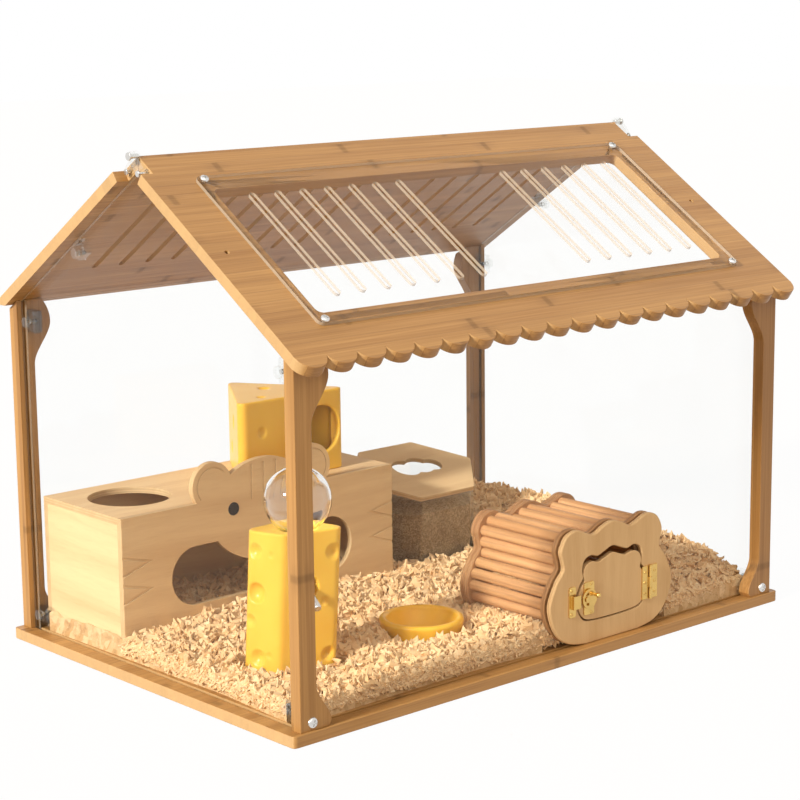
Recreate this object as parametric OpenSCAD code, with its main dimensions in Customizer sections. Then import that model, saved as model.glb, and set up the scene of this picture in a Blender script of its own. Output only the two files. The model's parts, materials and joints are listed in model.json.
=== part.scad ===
// Gable-roofed hamster cage: bamboo base, posts and roof, clear acrylic walls,
// a hinged front roof with a clear window, a front door with a slatted tunnel,
// and the loose furniture that stands in the wood-chip bedding.
// Millimetres. Origin at the centre of the base's underside, +X along the ridge,
// +Y to the back, +Z up.

/* [Base and posts] */
// Length of the base board along the ridge
base_l = 600; // [580:5:660]
// Depth of the base board
base_w = 410; // [400:5:450]
// Thickness of the base board
base_t = 10; // [9:0.5:16]
// Corner radius of the base board
base_r = 4; // [1:0.5:8]
// Width of a post's shaft
post_w = 17; // [15:0.5:22]
// Thickness of a post
post_t = 12; // [10:0.5:16]
// How far a post stands in from the end of the base
post_in_x = 9; // [6:0.5:14]
// How far a post stands in from the front or back of the base
post_in_y = 2.5; // [1:0.5:6]
// How far the top flare of a post widens
flare_top = 18; // [8:0.5:24]
// Height of the S-curve of the top flare
flare_top_h = 38; // [25:1:50]
// How far the bottom flare of a post widens
flare_foot = 15; // [8:0.5:20]
// Height of the S-curve of the bottom flare
flare_foot_h = 32; // [22:1:45]

/* [Clear walls] */
// Thickness of the clear panels
panel_t = 3; // [2:0.5:5]
// Depth of the panel grooves in the base and the posts
groove_d = 3; // [2:0.5:4]
// Distance from a post's outer face to the side panel
groove_in = 5.5; // [4:0.5:8]
// Width of a clear corner block along the ridge
block_w = 7; // [6:0.5:7]
// Depth of a clear corner block from front to back
block_d = 14; // [12:0.5:18]
// Height of a clear corner block
block_h = 20; // [18:0.5:26]
// Radius of the clear bolts and the post screws
bolt_r = 2; // [1.5:0.1:2.5]
// Radius of a clear bolt's head
bolt_head_r = 5; // [4:0.5:6]
// Radius of a post screw's head
post_head_r = 4.8; // [4:0.2:6]

/* [Roof] */
// Height of the ridge above the floor
ridge_z = 452.5; // [440:2.5:480]
// Slope of the roof in degrees
roof_a = 33.4; // [32:0.2:35]
// How far the roof ends inside the end of the base
roof_in = 2; // [0:0.5:5]
// Thickness of the roof boards
roof_t = 10; // [8:0.5:13]
// Slope length of the front roof down to the valleys of its scallops
front_s = 257.7; // [250:0.5:266]
// Number of scallops along the front eave
scallops = 20; // [12:1:28]
// Depth of a scallop
scallop_d = 11.5; // [7:0.5:13]
// Slope length of the back roof
back_s = 259.3; // [252:0.5:268]
// Width of the window opening
window_l = 486; // [440:2:500]
// Height of the window opening along the slope
window_h = 160.5; // [140:0.5:170]
// Slope distance from the ridge to the window opening
window_s = 50.5; // [44:0.5:60]
// Overlap of the clear window beyond the ends of its opening
window_lap_x = 10; // [8:0.5:16]
// Overlap of the clear window above and below its opening
window_lap_s = 15; // [12:0.5:17]
// Thickness of the clear window
window_t = 3; // [2:0.5:4]
// Width of the vent slots
slot_w = 6; // [4:0.5:8]
// Length of the vent slots in the window
slot_h = 133; // [100:1:138]
// Spacing of the vent slots in the window
slot_pitch = 27; // [24:0.5:30]
// Length of the vent slots in the back roof
back_slot_h = 122; // [90:1:130]
// Spacing of the vent slots in the back roof
back_slot_pitch = 29; // [26:0.5:30]
// Radius of the peg holes near the ends of the front roof
peg_r = 2; // [1.5:0.1:3]
// Width of the hinge notches at the ends of the ridge
notch_w = 12; // [11.5:0.1:16]
// Slope length of the hinge notches
notch_s = 24; // [23:0.5:30]

/* [Door and tunnel] */
// Distance of the door's middle to the right of the cage's middle
door_x = 76; // [40:2:110]
// Thickness of each door plate
plate_t = 5; // [4:0.5:6]
// Length of the slatted tunnel between its plates
tunnel_l = 92.5; // [70:0.5:110]
// Radius of a tunnel slat
slat_r = 5; // [4:0.1:5.2]
// Gap between the door and its frame
door_gap = 1.2; // [0.8:0.1:1.8]
// Vent gap above the door
door_drop = 6; // [3:0.5:8]
// Height of the door hinge
hinge_h = 31; // [26:0.5:34]
// Width of one hinge leaf from the pin
hinge_w = 10; // [9:0.5:11]
// Radius of the hinge knuckles
knuckle_r = 1.7; // [1.5:0.1:2]
// Radius of the hinge pin
pin_r = 0.9; // [0.6:0.1:1]
// Thickness of the brass fittings
brass_t = 1.2; // [0.8:0.1:1.5]

/* [Hide] */
// Length of the hide
hide_l = 315; // [300:1:330]
// Depth of the hide
hide_w = 124; // [112:1:136]
// Height of the hide
hide_h = 123.5; // [120:0.5:132]
// Thickness of the hide's boards
hide_t = 6; // [5:0.5:8]
// Gap between the hide and the corner block at the left wall
hide_gap_x = 0.6; // [0.4:0.1:4]
// Gap between the hide and the back wall
hide_gap_y = 2.5; // [1.5:0.5:6]
// Radius of the round hole in the hide's top
hide_hole_r = 38; // [30:0.5:42]
// Radius of an eye
eye_r = 6; // [4:0.5:8]

/* [Cheese house and water tower] */
// Length of the cheese house's front
house_l = 132; // [120:1:136]
// Depth of the cheese house
house_w = 102; // [92:1:104]
// Height of the cheese house
house_h = 78; // [70:1:90]
// Wall of the cheese house
house_wall = 5; // [4:0.5:7]
// Radius of the cheese house's door hole
house_hole_r = 23; // [18:0.5:23.5]
// Height of the water tower
tower_h = 132; // [125:1:145]
// Radius of the glass water ball
ball_r = 29; // [26:0.5:32]
// Wall of the glass water ball
ball_wall = 1.6; // [1.2:0.1:2.4]
// Radius of the water ball's neck
neck_r = 9; // [8:0.5:10]
// Radius of the drinking spout
spout_r = 3.4; // [2.5:0.1:3.6]

/* [Bowl and sand bath] */
// Radius of the bowl's rim
bowl_r = 38; // [34:0.5:42]
// Height of the bowl
bowl_h = 27; // [22:0.5:32]
// Wall of the bowl
bowl_wall = 5; // [4:0.5:7]
// Length of the six-sided sand jar
jar_l = 152; // [140:1:158]
// Depth of the sand jar
jar_w = 96; // [86:1:104]
// Height of the sand jar at its front
jar_h = 77; // [70:0.5:84]
// Wall of the sand jar
jar_wall = 3; // [2:0.5:4]
// Slope of the sand jar's lid in degrees
lid_a = 18; // [12:0.5:20]
// Thickness of the sand jar's lid
lid_t = 5; // [4:0.5:7]
// Depth of the bath sand
sand_h = 70; // [40:1:72]

/* [Bedding] */
// Depth of the bedding over most of the floor
bed_h = 15; // [10:0.5:20]
// How much higher the bedding is banked at the right
bed_rise = 30; // [15:1:34]
// How far the clumps of chips stand above and below that
bed_clump = 3; // [1:0.5:4]

/* [Hidden] */
$fn = 64;

// Clearances
fit = 0.3;
hole_fit = 0.05;
roof_gap = 0.4;
wood_gap = 0.5;
cut = 1;
far = 2000;

// Frame planes
roof_l = base_l - 2 * roof_in;
post_x = base_l / 2 - post_in_x;
post_y = base_w / 2 - post_in_y;
wall_y = post_y - post_t;
wall_yi = wall_y - panel_t;
side_x = post_x - groove_in;
side_xi = side_x - panel_t;
floor_z = base_t;
roof_drop = roof_t / cos(roof_a);
function under(y) = ridge_z - roof_drop - abs(y) * tan(roof_a);
wall_top = under(wall_y) - 3 * roof_gap;
block_mid = block_d / 2;
foot_screw_up = 6.5;
foot_bolt_in = 5.5;
top_block_drop = 28;
foot_screw_z = floor_z + foot_screw_up;
foot_bolt_z = floor_z + block_h - foot_bolt_in;
top_block_z = wall_top - top_block_drop;
screw_head_h = 2.4;
gable_s = front_s / 2;
bolt_head_h = 4;
gable_x = side_xi - block_w / 2;

// Ridge hinge
notch_x = roof_l / 2 - notch_w;
leaf_t = 4;
leaf_eye_r = 4.2;
leaf_end_r = 4;
leaf_s = 17;
leaf_n = -roof_t / 2;
ridge_pin_r = 2;
hinge_screw_r = 1.3;

// Door fittings
outer_y = -wall_y - plate_t;
inner_y = -wall_yi;
ring_y = inner_y + plate_t + tunnel_l;
pin_u = 48.5;
hinge_v = 26;
barrel_y = outer_y - knuckle_r - fit;
brass_y = outer_y - brass_t;
small_screw_r = 0.8;
small_head_r = 1.6;
small_head_h = 0.6;
small_screw_l = 3.4;
cam_u = -36;
cam_v = 42;
cam_r = 9;
cam_off = 3.5;
cam_t = 1.6;
rivet_r = 1.5;
keeper_u = -57;
keeper_w = 8.5;
keeper_v = 28;
keeper_h = 28;

// Furniture places
hide_cx = -side_xi + block_w + hide_gap_x + hide_l / 2;
hide_y = wall_yi - hide_gap_y - hide_w;
hide_z = floor_z + hide_h;
house_off = 56;
house_in_y = 23;
house_x = hide_cx + house_off;
house_y = hide_y + house_in_y;
tower_in_x = 54.5;
tower_in_y = 81.5;
tower_x = -side_xi + tower_in_x;
tower_y = -wall_yi + tower_in_y;
tower_z = floor_z + tower_h;
bore_in_x = 25;
bore_in_y = 11;
seal_wall = 2.5;
spout_drop = 52;
spout_step = 0.7;
spout_rise = 4;
ball_sink = 5;
bore_x = tower_x + bore_in_x;
bore_y = tower_y + bore_in_y;
bore_r = neck_r + seal_wall;
spout_z = tower_z - spout_drop;
spout_hole_r = bore_r - spout_step;
spout_hole_z = spout_z + spout_rise;
ball_z = tower_z + ball_r - ball_sink;
bowl_in_x = 218;
bowl_in_y = 92.5;
bowl_x = -side_xi + bowl_in_x;
bowl_y = -wall_yi + bowl_in_y;
jar_gap = 4;
jar_in_y = 7;
jar_x = hide_cx + hide_l / 2 + jar_gap + jar_l / 2;
jar_y = hide_y + jar_in_y + jar_w / 2;
jar_flat = 72;

// Points of a rounded corner at b, between a and c
function fillet(a, b, c, r, n = 8) =
    let (p = (a - b) / norm(a - b), q = (c - b) / norm(c - b))
    let (half = acos(p * q) / 2, m = (p + q) / norm(p + q), o = b + m * r / sin(half))
    let (s = b + p * r / tan(half) - o, e = b + q * r / tan(half) - o)
    let (a0 = atan2(s[1], s[0]), turn = atan2(e[1], e[0]) - a0)
    let (sweep = turn > 180 ? turn - 360 : turn < -180 ? turn + 360 : turn)
    [for (i = [0:n]) o + r * [cos(a0 + sweep * i / n), sin(a0 + sweep * i / n)]];

// A polygon with all its corners rounded
function rounded(p, r) =
    let (n = len(p)) [for (i = [0:n - 1]) each fillet(p[(i + n - 1) % n], p[i], p[(i + 1) % n], r)];

// A smooth closed curve through points, steps pieces between each two
function curve(p, steps = 5) =
    let (n = len(p))
    [for (i = [0:n - 1], k = [0:steps - 1])
        let (a = p[(i + n - 1) % n], b = p[i], c = p[(i + 1) % n], d = p[(i + 2) % n], t = k / steps)
        0.5 * (2 * b + (c - a) * t + (2 * a - 5 * b + 4 * c - d) * t * t + (3 * b - a - 3 * c + d) * t * t * t)];

// The right half of an outline, and its mirror image, as one closed loop
function both_sides(half) =
    concat(half, [for (i = [len(half) - 1:-1:0]) if (half[i][0] > 0) [-half[i][0], half[i][1]]]);

// Points spaced evenly along a closed loop
function loop_lengths(p) =
    let (n = len(p), d = [for (i = [0:n - 1]) norm(p[(i + 1) % n] - p[i])])
    [for (i = 0, s = 0; i <= n; s = s + (i < n ? d[i] : 0), i = i + 1) s];
function spaced(p, count) =
    let (n = len(p), s = loop_lengths(p))
    let (tu = [for (i = [0:n]) [s[i], p[i % n][0]]], tv = [for (i = [0:n]) [s[i], p[i % n][1]]])
    [for (k = [0:count - 1]) [lookup(k * s[n] / count, tu), lookup(k * s[n] / count, tv)]];

// Cloud outline of the door plates, and of the opening in them: right halves
cloud_half = [[34, 0], [66, 10], [80, 38], [72, 61], [63, 72], [64, 81], [66, 90], [59, 102], [46, 106], [32, 101],
    [23, 99], [12, 104], [0, 107]];
hole_half = [[26, 20], [41, 26], [47, 42], [43, 54], [38, 61], [39, 69], [36, 77], [28, 80], [19, 78], [10, 81], [0, 84]];
hole_low = hole_half[0][1];
hole_top = hole_half[len(hole_half) - 1][1];
door_scale = (hole_top - hole_low - door_gap - door_drop) / (hole_top - hole_low);
door_half = [for (p = hole_half)
    [max(0, p[0] - (p[0] > 0 ? door_gap : 0)), hole_low + door_gap + (p[1] - hole_low) * door_scale]];
slat_in = slat_r + 3;
cloud_top = cloud_half[len(cloud_half) - 1][1];
cloud_r = cloud_half[2][0];
slat_half = [for (p = cloud_half)
    [p[0] * (cloud_r - slat_in) / cloud_r, slat_in + p[1] * (cloud_top - 2 * slat_in) / cloud_top]];
slat_loop = curve(both_sides(slat_half));
slat_len = loop_lengths(slat_loop);
slat_count = floor(slat_len[len(slat_len) - 1] / (2 * slat_r + 0.6));

// Frames of reference
module front_slope() { translate([0, 0, ridge_z]) rotate([roof_a, 0, 0]) children(); }
module back_slope() { mirror([0, 1, 0]) front_slope() children(); }
module both_ends() { children(); mirror([1, 0, 0]) children(); }
module four_corners() { both_ends() { children(); mirror([0, 1, 0]) children(); } }
// Upright plate: drawn in X and Z, from y to y + t
module upright(y, t) { translate([0, y + t, 0]) rotate([90, 0, 0]) linear_extrude(t) children(); }
// Gable plate: drawn in Y and Z, from x to x + t
module gable(x, t) { translate([x, 0, 0]) rotate([90, 0, 90]) linear_extrude(t) children(); }
// Rods along the axes, from one end to the other
module rod_x(x0, x1, y, z, r) { translate([x0, y, z]) rotate([0, 90, 0]) cylinder(h = x1 - x0, r = r); }
module rod_y(y0, y1, x, z, r) { translate([x, y1, z]) rotate([90, 0, 0]) cylinder(h = y1 - y0, r = r); }
module door_place() { translate([door_x, 0, floor_z]) children(); }

module plate_2d(l, w, r) {
    translate([-l / 2 + r, -w / 2]) square([l - 2 * r, w]);
    translate([-l / 2, -w / 2 + r]) square([l, w - 2 * r]);
    for (x = [-1, 1], y = [-1, 1]) translate([x * (l / 2 - r), y * (w / 2 - r)]) circle(r);
}
module slot_2d(l, w) {
    translate([-w / 2, -l / 2 + w / 2]) square([w, l - w]);
    for (y = [-1, 1]) translate([0, y * (l / 2 - w / 2)]) circle(w / 2, $fn = 32);
}

// Base board with grooves for the clear walls
module base_board() color("goldenrod") difference() {
    linear_extrude(base_t) plate_2d(base_l, base_w, base_r);
    four_corners() {
        base_screw_hole();
    }
    both_ends() translate([side_xi - fit, -wall_y - groove_d - fit, base_t - groove_d])
        cube([panel_t + 2 * fit, 2 * (wall_y + groove_d + fit), groove_d + cut]);
    for (m = [0, 1]) mirror([0, m, 0]) translate([-side_xi, -wall_y - fit, base_t - groove_d])
        cube([2 * side_xi, panel_t + 2 * fit, groove_d + cut]);
}

// Countersunk screws that hold the posts from below
base_screw_in = 5;
base_screw_grip = 13;
base_screw_sink = 0.5;
base_screw_x = post_x - post_w - base_screw_in;
base_screw_y = wall_y + post_t / 2;
base_screw_head_h = 3;
module base_screw_hole() translate([-base_screw_x, -base_screw_y, 0]) {
    translate([0, 0, -cut]) cylinder(h = base_t + 2 * cut, r = bolt_r + hole_fit);
    translate([0, 0, -cut]) cylinder(h = base_screw_head_h + cut, r = post_head_r + hole_fit);
}
module base_screws() color("silver") four_corners() translate([-base_screw_x, -base_screw_y, 0]) {
    translate([0, 0, base_screw_sink]) cylinder(h = base_screw_head_h - base_screw_sink, r = post_head_r);
    translate([0, 0, base_screw_sink]) cylinder(h = base_t + base_screw_grip - base_screw_sink, r = bolt_r);
}

// Post: a board cut to a shaft with a flared ear under the roof and a flared foot
function smooth(t) = let (c = min(1, max(0, t))) c * c * (3 - 2 * c);
ear_z = under(post_y) - floor_z - 14;
post_top = under(wall_y) - floor_z;
flare_steps = 14;
foot_pts = [for (i = [0:flare_steps]) [post_w + flare_foot * (1 - smooth(i / flare_steps)), 4 + flare_foot_h * i / flare_steps]];
ear_pts = [for (i = [0:flare_steps]) [post_w + flare_top * smooth(i / flare_steps), ear_z - flare_top_h * (1 - i / flare_steps)]];
brow_pts = [for (i = [1:6]) [post_w + flare_top * (1 - 0.5 * pow(i / 6, 2)), ear_z + (post_top - ear_z) * i / 6]];
module post_2d() polygon(concat([[0, 0], [post_w + flare_foot - 3, 0]], foot_pts, ear_pts, brow_pts, [[0, post_top]]));
module post() color("peru") difference() {
    translate([-post_x, 0, floor_z]) upright(-post_y, post_t) post_2d();
    front_slope() translate([-far / 2, -far, -roof_t - roof_gap]) cube([far, far, far]);
    translate([-side_x - fit, -wall_y - groove_d - fit, floor_z - cut])
        cube([panel_t + 2 * fit, groove_d + fit + cut, far]);
    rod_y(-post_y - cut, -wall_y + cut, -gable_x, foot_screw_z, bolt_r + hole_fit);
    translate([-base_screw_x, -base_screw_y, floor_z - cut]) cylinder(h = base_screw_grip + cut, r = bolt_r + hole_fit);
}
module post_front_left() post();
module post_front_right() mirror([1, 0, 0]) post();
module post_back_left() mirror([0, 1, 0]) post();
module post_back_right() mirror([0, 1, 0]) mirror([1, 0, 0]) post();

// Clear walls
module wall_2d() translate([-side_xi + fit, base_t - groove_d]) square([2 * (side_xi - fit), wall_top - base_t + groove_d]);
module wall_holes() both_ends() rod_y(-wall_y - cut, -wall_yi + cut, -gable_x, foot_screw_z, bolt_r + hole_fit);
module front_panel() color("lightcyan", 0.3) difference() {
    upright(-wall_y, panel_t) wall_2d();
    door_place() upright(-wall_y - cut, panel_t + 2 * cut) polygon(curve(both_sides(hole_half)));
    wall_holes();
}
module back_panel() color("lightcyan", 0.3) mirror([0, 1, 0]) difference() {
    upright(-wall_y, panel_t) wall_2d();
    wall_holes();
}
side_y = wall_y + groove_d;
module side_panel_left() color("lightcyan", 0.3) difference() {
    gable(-side_x, panel_t) polygon([[-side_y, base_t - groove_d], [side_y, base_t - groove_d],
        [side_y, under(side_y) - 2 * roof_gap], [0, under(0) - 2 * roof_gap], [-side_y, under(side_y) - 2 * roof_gap]]);
    bolt_places() rod_x(-side_x - cut, -side_xi + cut, 0, 0, bolt_r + hole_fit);
}
module side_panel_right() mirror([1, 0, 0]) side_panel_left();

// The bolts through one side panel: two at each post, one under the back roof
gable_bolt_n = roof_t + roof_gap + 10;
module bolt_places() {
    for (m = [0, 1], z = [foot_bolt_z, top_block_z + block_h / 2])
        mirror([0, m, 0]) translate([0, -wall_yi + block_mid, z]) children();
    back_slope() translate([0, -gable_s, -gable_bolt_n]) children();
}
module gable_block() back_slope() translate([-side_xi, -gable_s - block_mid, -roof_t - roof_gap - block_d])
    cube([block_w, block_d, block_d]);
module corner_blocks() color("aliceblue", 0.4) both_ends() difference() {
    union() {
        for (m = [0, 1], z = [floor_z, top_block_z])
            mirror([0, m, 0]) translate([-side_xi, -wall_yi, z]) cube([block_w, block_d, block_h]);
        gable_block();
    }
    for (m = [0, 1]) mirror([0, m, 0])
        rod_y(-wall_yi - cut, -wall_yi + block_d - 3, -gable_x, foot_screw_z, bolt_r + hole_fit);
    bolt_places() rod_x(-side_xi - cut, -side_xi + block_w - 1, 0, 0, bolt_r + hole_fit);
    back_slope() translate([-gable_x, -gable_s, -roof_t - 6]) cylinder(h = 6 + cut, r = peg_r - 0.3 + hole_fit);
}
module panel_bolts() color("aliceblue", 0.5) both_ends() bolt_places() {
    rod_x(-side_x - bolt_head_h, -side_x, 0, 0, bolt_head_r);
    rod_x(-side_x, -side_xi + block_w - 2, 0, 0, bolt_r);
}
module post_screws() color("silver") four_corners() {
    rod_y(-post_y - screw_head_h, -post_y, -gable_x, foot_screw_z, post_head_r);
    rod_y(-post_y, -wall_yi + block_d - 4, -gable_x, foot_screw_z, bolt_r);
}

// Roof boards, drawn with X along the ridge and -Y down the slope
module notches() both_ends() translate([-roof_l / 2 - cut, -notch_s, -roof_t - cut])
    cube([notch_w + cut, notch_s + far, roof_t + 2 * cut + far]);
module leaf_screw_hole() both_ends() rod_x(-notch_x - cut, -notch_x + 9, -leaf_s, leaf_n, hinge_screw_r + hole_fit);
module end_hole(r) both_ends() translate([-gable_x, -gable_s, -roof_t - cut]) cylinder(h = roof_t + 2 * cut, r = r);
module past_ridge() translate([-far / 2, -fit / 2, -far / 2]) cube([far, far, far]);

module back_slots_2d() {
    first = roof_l / 2 - 63;
    for (k = [0:8]) translate([-first + k * back_slot_pitch, -124]) slot_2d(back_slot_h, slot_w);
    for (k = [0:5]) translate([first - k * back_slot_pitch, -124]) slot_2d(back_slot_h, slot_w);
}
eave_z = ridge_z - back_s * sin(roof_a);
module back_roof_board() color("burlywood") mirror([0, 1, 0]) difference() {
    front_slope() translate([0, 0, -roof_t]) linear_extrude(roof_t) difference() {
        translate([-roof_l / 2, -back_s]) square([roof_l, back_s + roof_t]);
        back_slots_2d();
    }
    past_ridge();
    translate([-far / 2, -far, eave_z - far]) cube([far, far, far]);
    front_slope() {
        notches();
        leaf_screw_hole();
        end_hole(peg_r - 0.3 + hole_fit);
    }
}
module back_roof_screws() color("silver") back_slope() both_ends() translate([-gable_x, -gable_s, 0]) {
    cylinder(h = screw_head_h, r = 3.6);
    translate([0, 0, -roof_t - 5]) cylinder(h = roof_t + 5, r = peg_r - 0.3);
}

scallop_w = roof_l / scallops;
scallop_r = (scallop_w * scallop_w / 4 + scallop_d * scallop_d) / (2 * scallop_d);
window_mid = window_s + window_h / 2;
window_screw_x = window_l / 2 + 2.5;
window_screw_s = window_h / 2 + window_lap_s - 4.5;
module front_roof_2d() difference() {
    intersection() {
        union() {
            translate([-roof_l / 2, -front_s]) square([roof_l, front_s + roof_t]);
            for (k = [0:scallops - 1])
                translate([-roof_l / 2 + (k + 0.5) * scallop_w, -front_s - scallop_d + scallop_r]) circle(scallop_r);
        }
        translate([-roof_l / 2, -far]) square([roof_l, 2 * far]);
    }
    translate([0, -window_mid]) plate_2d(window_l, window_h, 6);
}
module front_roof_board() color("burlywood") difference() {
    front_slope() translate([0, 0, -roof_t]) linear_extrude(roof_t) front_roof_2d();
    past_ridge();
    front_slope() {
        notches();
        leaf_screw_hole();
        end_hole(peg_r);
        window_screw_places() translate([0, 0, -8]) cylinder(h = 8 + cut, r = 1.5 + hole_fit);
    }
}
module window_screw_places() for (x = [-1, 1], s = [-1, 1])
    translate([x * window_screw_x, -window_mid + s * window_screw_s, 0]) children();
module roof_window() color("lightcyan", 0.4) front_slope() difference() {
    linear_extrude(window_t) difference() {
        translate([0, -window_mid]) plate_2d(window_l + 2 * window_lap_x, window_h + 2 * window_lap_s, 6);
        first = window_l / 2 - 31;
        for (k = [0:6]) translate([-first + k * slot_pitch, -window_mid + 2]) slot_2d(slot_h, slot_w);
        for (k = [0:5]) translate([first - k * slot_pitch, -window_mid + 2]) slot_2d(slot_h, slot_w);
    }
    window_screw_places() translate([0, 0, -cut]) cylinder(h = window_t + 2 * cut, r = 1.5 + hole_fit);
}
module window_screws() color("silver") front_slope() window_screw_places() {
    translate([0, 0, window_t]) cylinder(h = screw_head_h, r = 4);
    translate([0, 0, -7]) cylinder(h = window_t + 7, r = 1.5);
}

// Clear hinge leaves at the ends of the ridge, their pins and their screws
leaf_arm = norm([leaf_s, leaf_n]);
module leaf_2d() {
    circle(leaf_eye_r);
    translate([-leaf_s, leaf_n]) circle(leaf_end_r);
    rotate(180 + atan2(-leaf_n, leaf_s)) translate([0, -leaf_end_r]) square([leaf_arm, 2 * leaf_end_r]);
}
module back_hinge_leaves() color("aliceblue", 0.4) both_ends() back_slope() difference() {
    gable(-notch_x - leaf_t, leaf_t) leaf_2d();
    rod_x(-roof_l, 0, 0, 0, ridge_pin_r);
    rod_x(-roof_l, 0, -leaf_s, leaf_n, hinge_screw_r + hole_fit);
}
module front_hinge_leaves() color("aliceblue", 0.4) both_ends() front_slope() difference() {
    union() {
        gable(-notch_x - 2 * leaf_t - roof_gap, leaf_t) leaf_2d();
        rod_x(-notch_x - leaf_t - 2 * roof_gap, -notch_x, -leaf_s, leaf_n, leaf_end_r);
    }
    rod_x(-roof_l, 0, 0, 0, ridge_pin_r + hole_fit);
    rod_x(-roof_l, 0, -leaf_s, leaf_n, hinge_screw_r + hole_fit);
}
module ridge_pins() color("silver") both_ends() translate([0, 0, ridge_z]) {
    rod_x(-notch_x - 2 * leaf_t - 2 * roof_gap - 1.6, -notch_x - 2 * leaf_t - 2 * roof_gap, 0, 0, ridge_pin_r + 1.4);
    rod_x(-notch_x - 2 * leaf_t - 2 * roof_gap, -notch_x, 0, 0, ridge_pin_r);
}
module leaf_screw(x) {
    rod_x(x - 1.4, x, -leaf_s, leaf_n, 2.6);
    rod_x(x, -notch_x + 8, -leaf_s, leaf_n, hinge_screw_r);
}
module back_hinge_screws() color("silver") both_ends() back_slope() leaf_screw(-notch_x - leaf_t);
module front_hinge_screws() color("silver") both_ends() front_slope() leaf_screw(-notch_x - 2 * leaf_t - roof_gap);

// Cloud-shaped plates that clamp the front wall, the slats behind them and the rings at the tunnel's far end
module ring_plate(y) door_place() upright(y, plate_t) difference() {
    intersection() {
        polygon(curve(both_sides(cloud_half)));
        translate([-far / 2, 0]) square([far, far]);
    }
    polygon(curve(both_sides(hole_half)));
}
module door_outer_plate() color("tan") difference() {
    ring_plate(outer_y);
    door_place() {
        frame_leaf_screw_places() small_screw_hole();
        keeper_screw_places() small_screw_hole();
    }
}
module door_inner_plate() color("rosybrown") ring_plate(inner_y);
module tunnel_inner_ring() color("rosybrown") ring_plate(ring_y);
module tunnel_end_ring() color("rosybrown") ring_plate(ring_y + plate_t);
module tunnel_slats() color("rosybrown") door_place() for (p = spaced(slat_loop, slat_count))
    rod_y(inner_y + plate_t, ring_y, p[0], p[1], slat_r);

// Small brass screws, drawn at the face of the door, heads to the front
module small_screw(y) {
    rod_y(y - small_head_h, y, 0, 0, small_head_r);
    rod_y(y, y + brass_t + small_screw_l, 0, 0, small_screw_r);
}
module small_screw_hole() rod_y(outer_y - cut, outer_y + small_screw_l + 0.4, 0, 0, small_screw_r + hole_fit);
module brass_hole() rod_y(brass_y - cut, outer_y + cut, 0, 0, small_screw_r + hole_fit);
hinge_screw_u = knuckle_r + (hinge_w - knuckle_r) / 2 + 0.6;
module leaf_screw_rows() for (k = [-1:1]) translate([0, 0, hinge_v + hinge_h / 2 + k * hinge_h * 0.32]) children();
module frame_leaf_screw_places() translate([pin_u + hinge_screw_u, 0, 0]) leaf_screw_rows() children();
module door_leaf_screw_places() translate([pin_u - hinge_screw_u, 0, 0]) leaf_screw_rows() children();
module keeper_screw_places() for (v = [keeper_v + 3.2, keeper_v + keeper_h - 3.2])
    translate([keeper_u + 3, 0, v]) children();
module latch_screw_places() for (v = [cam_v - 13, cam_v + 13]) translate([cam_u + 7, 0, v]) children();

// Hinge: the frame's leaf has the end knuckles, the door's leaf the middle one
knuckle_gap = 0.4;
knuckle_h = hinge_h / 3;
module knuckle(v0, v1, r) translate([pin_u, barrel_y, v0]) cylinder(h = v1 - v0, r = r);
module leaf(side, v0, v1) translate([pin_u, brass_y, v0])
    mirror([side < 0 ? 1 : 0, 0, 0]) cube([hinge_w, brass_t, v1 - v0]);
module leaf_relief(v0, v1) translate([pin_u - knuckle_r - 0.6, brass_y - cut, v0])
    cube([2 * knuckle_r + 1.2, brass_t + 2 * cut, v1 - v0]);
hinge_a = hinge_v + knuckle_h;
hinge_b = hinge_v + 2 * knuckle_h;
module frame_hinge_leaf() color("goldenrod") door_place() difference() {
    union() {
        difference() {
            leaf(1, hinge_v, hinge_v + hinge_h);
            leaf_relief(hinge_a - knuckle_gap, hinge_b + knuckle_gap);
        }
        knuckle(hinge_v, hinge_a - knuckle_gap, knuckle_r);
        knuckle(hinge_b + knuckle_gap, hinge_v + hinge_h, knuckle_r);
    }
    knuckle(hinge_v - cut, hinge_v + hinge_h + cut, pin_r);
    frame_leaf_screw_places() brass_hole();
}
module door_hinge_leaf() color("goldenrod") door_place() difference() {
    union() {
        difference() {
            leaf(-1, hinge_v, hinge_v + hinge_h);
            leaf_relief(hinge_v - cut, hinge_a + knuckle_gap);
            leaf_relief(hinge_b - knuckle_gap, hinge_v + hinge_h + cut);
        }
        knuckle(hinge_a, hinge_b, knuckle_r);
    }
    knuckle(hinge_v - cut, hinge_v + hinge_h + cut, pin_r + hole_fit);
    door_leaf_screw_places() brass_hole();
}
module hinge_pin() color("goldenrod") door_place() {
    knuckle(hinge_v, hinge_v + hinge_h, pin_r);
    knuckle(hinge_v + hinge_h, hinge_v + hinge_h + 0.8, knuckle_r);
}
module frame_hinge_screws() color("darkgoldenrod") door_place() frame_leaf_screw_places() small_screw(brass_y);
module door_hinge_screws() color("darkgoldenrod") door_place() door_leaf_screw_places() small_screw(brass_y);

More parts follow.
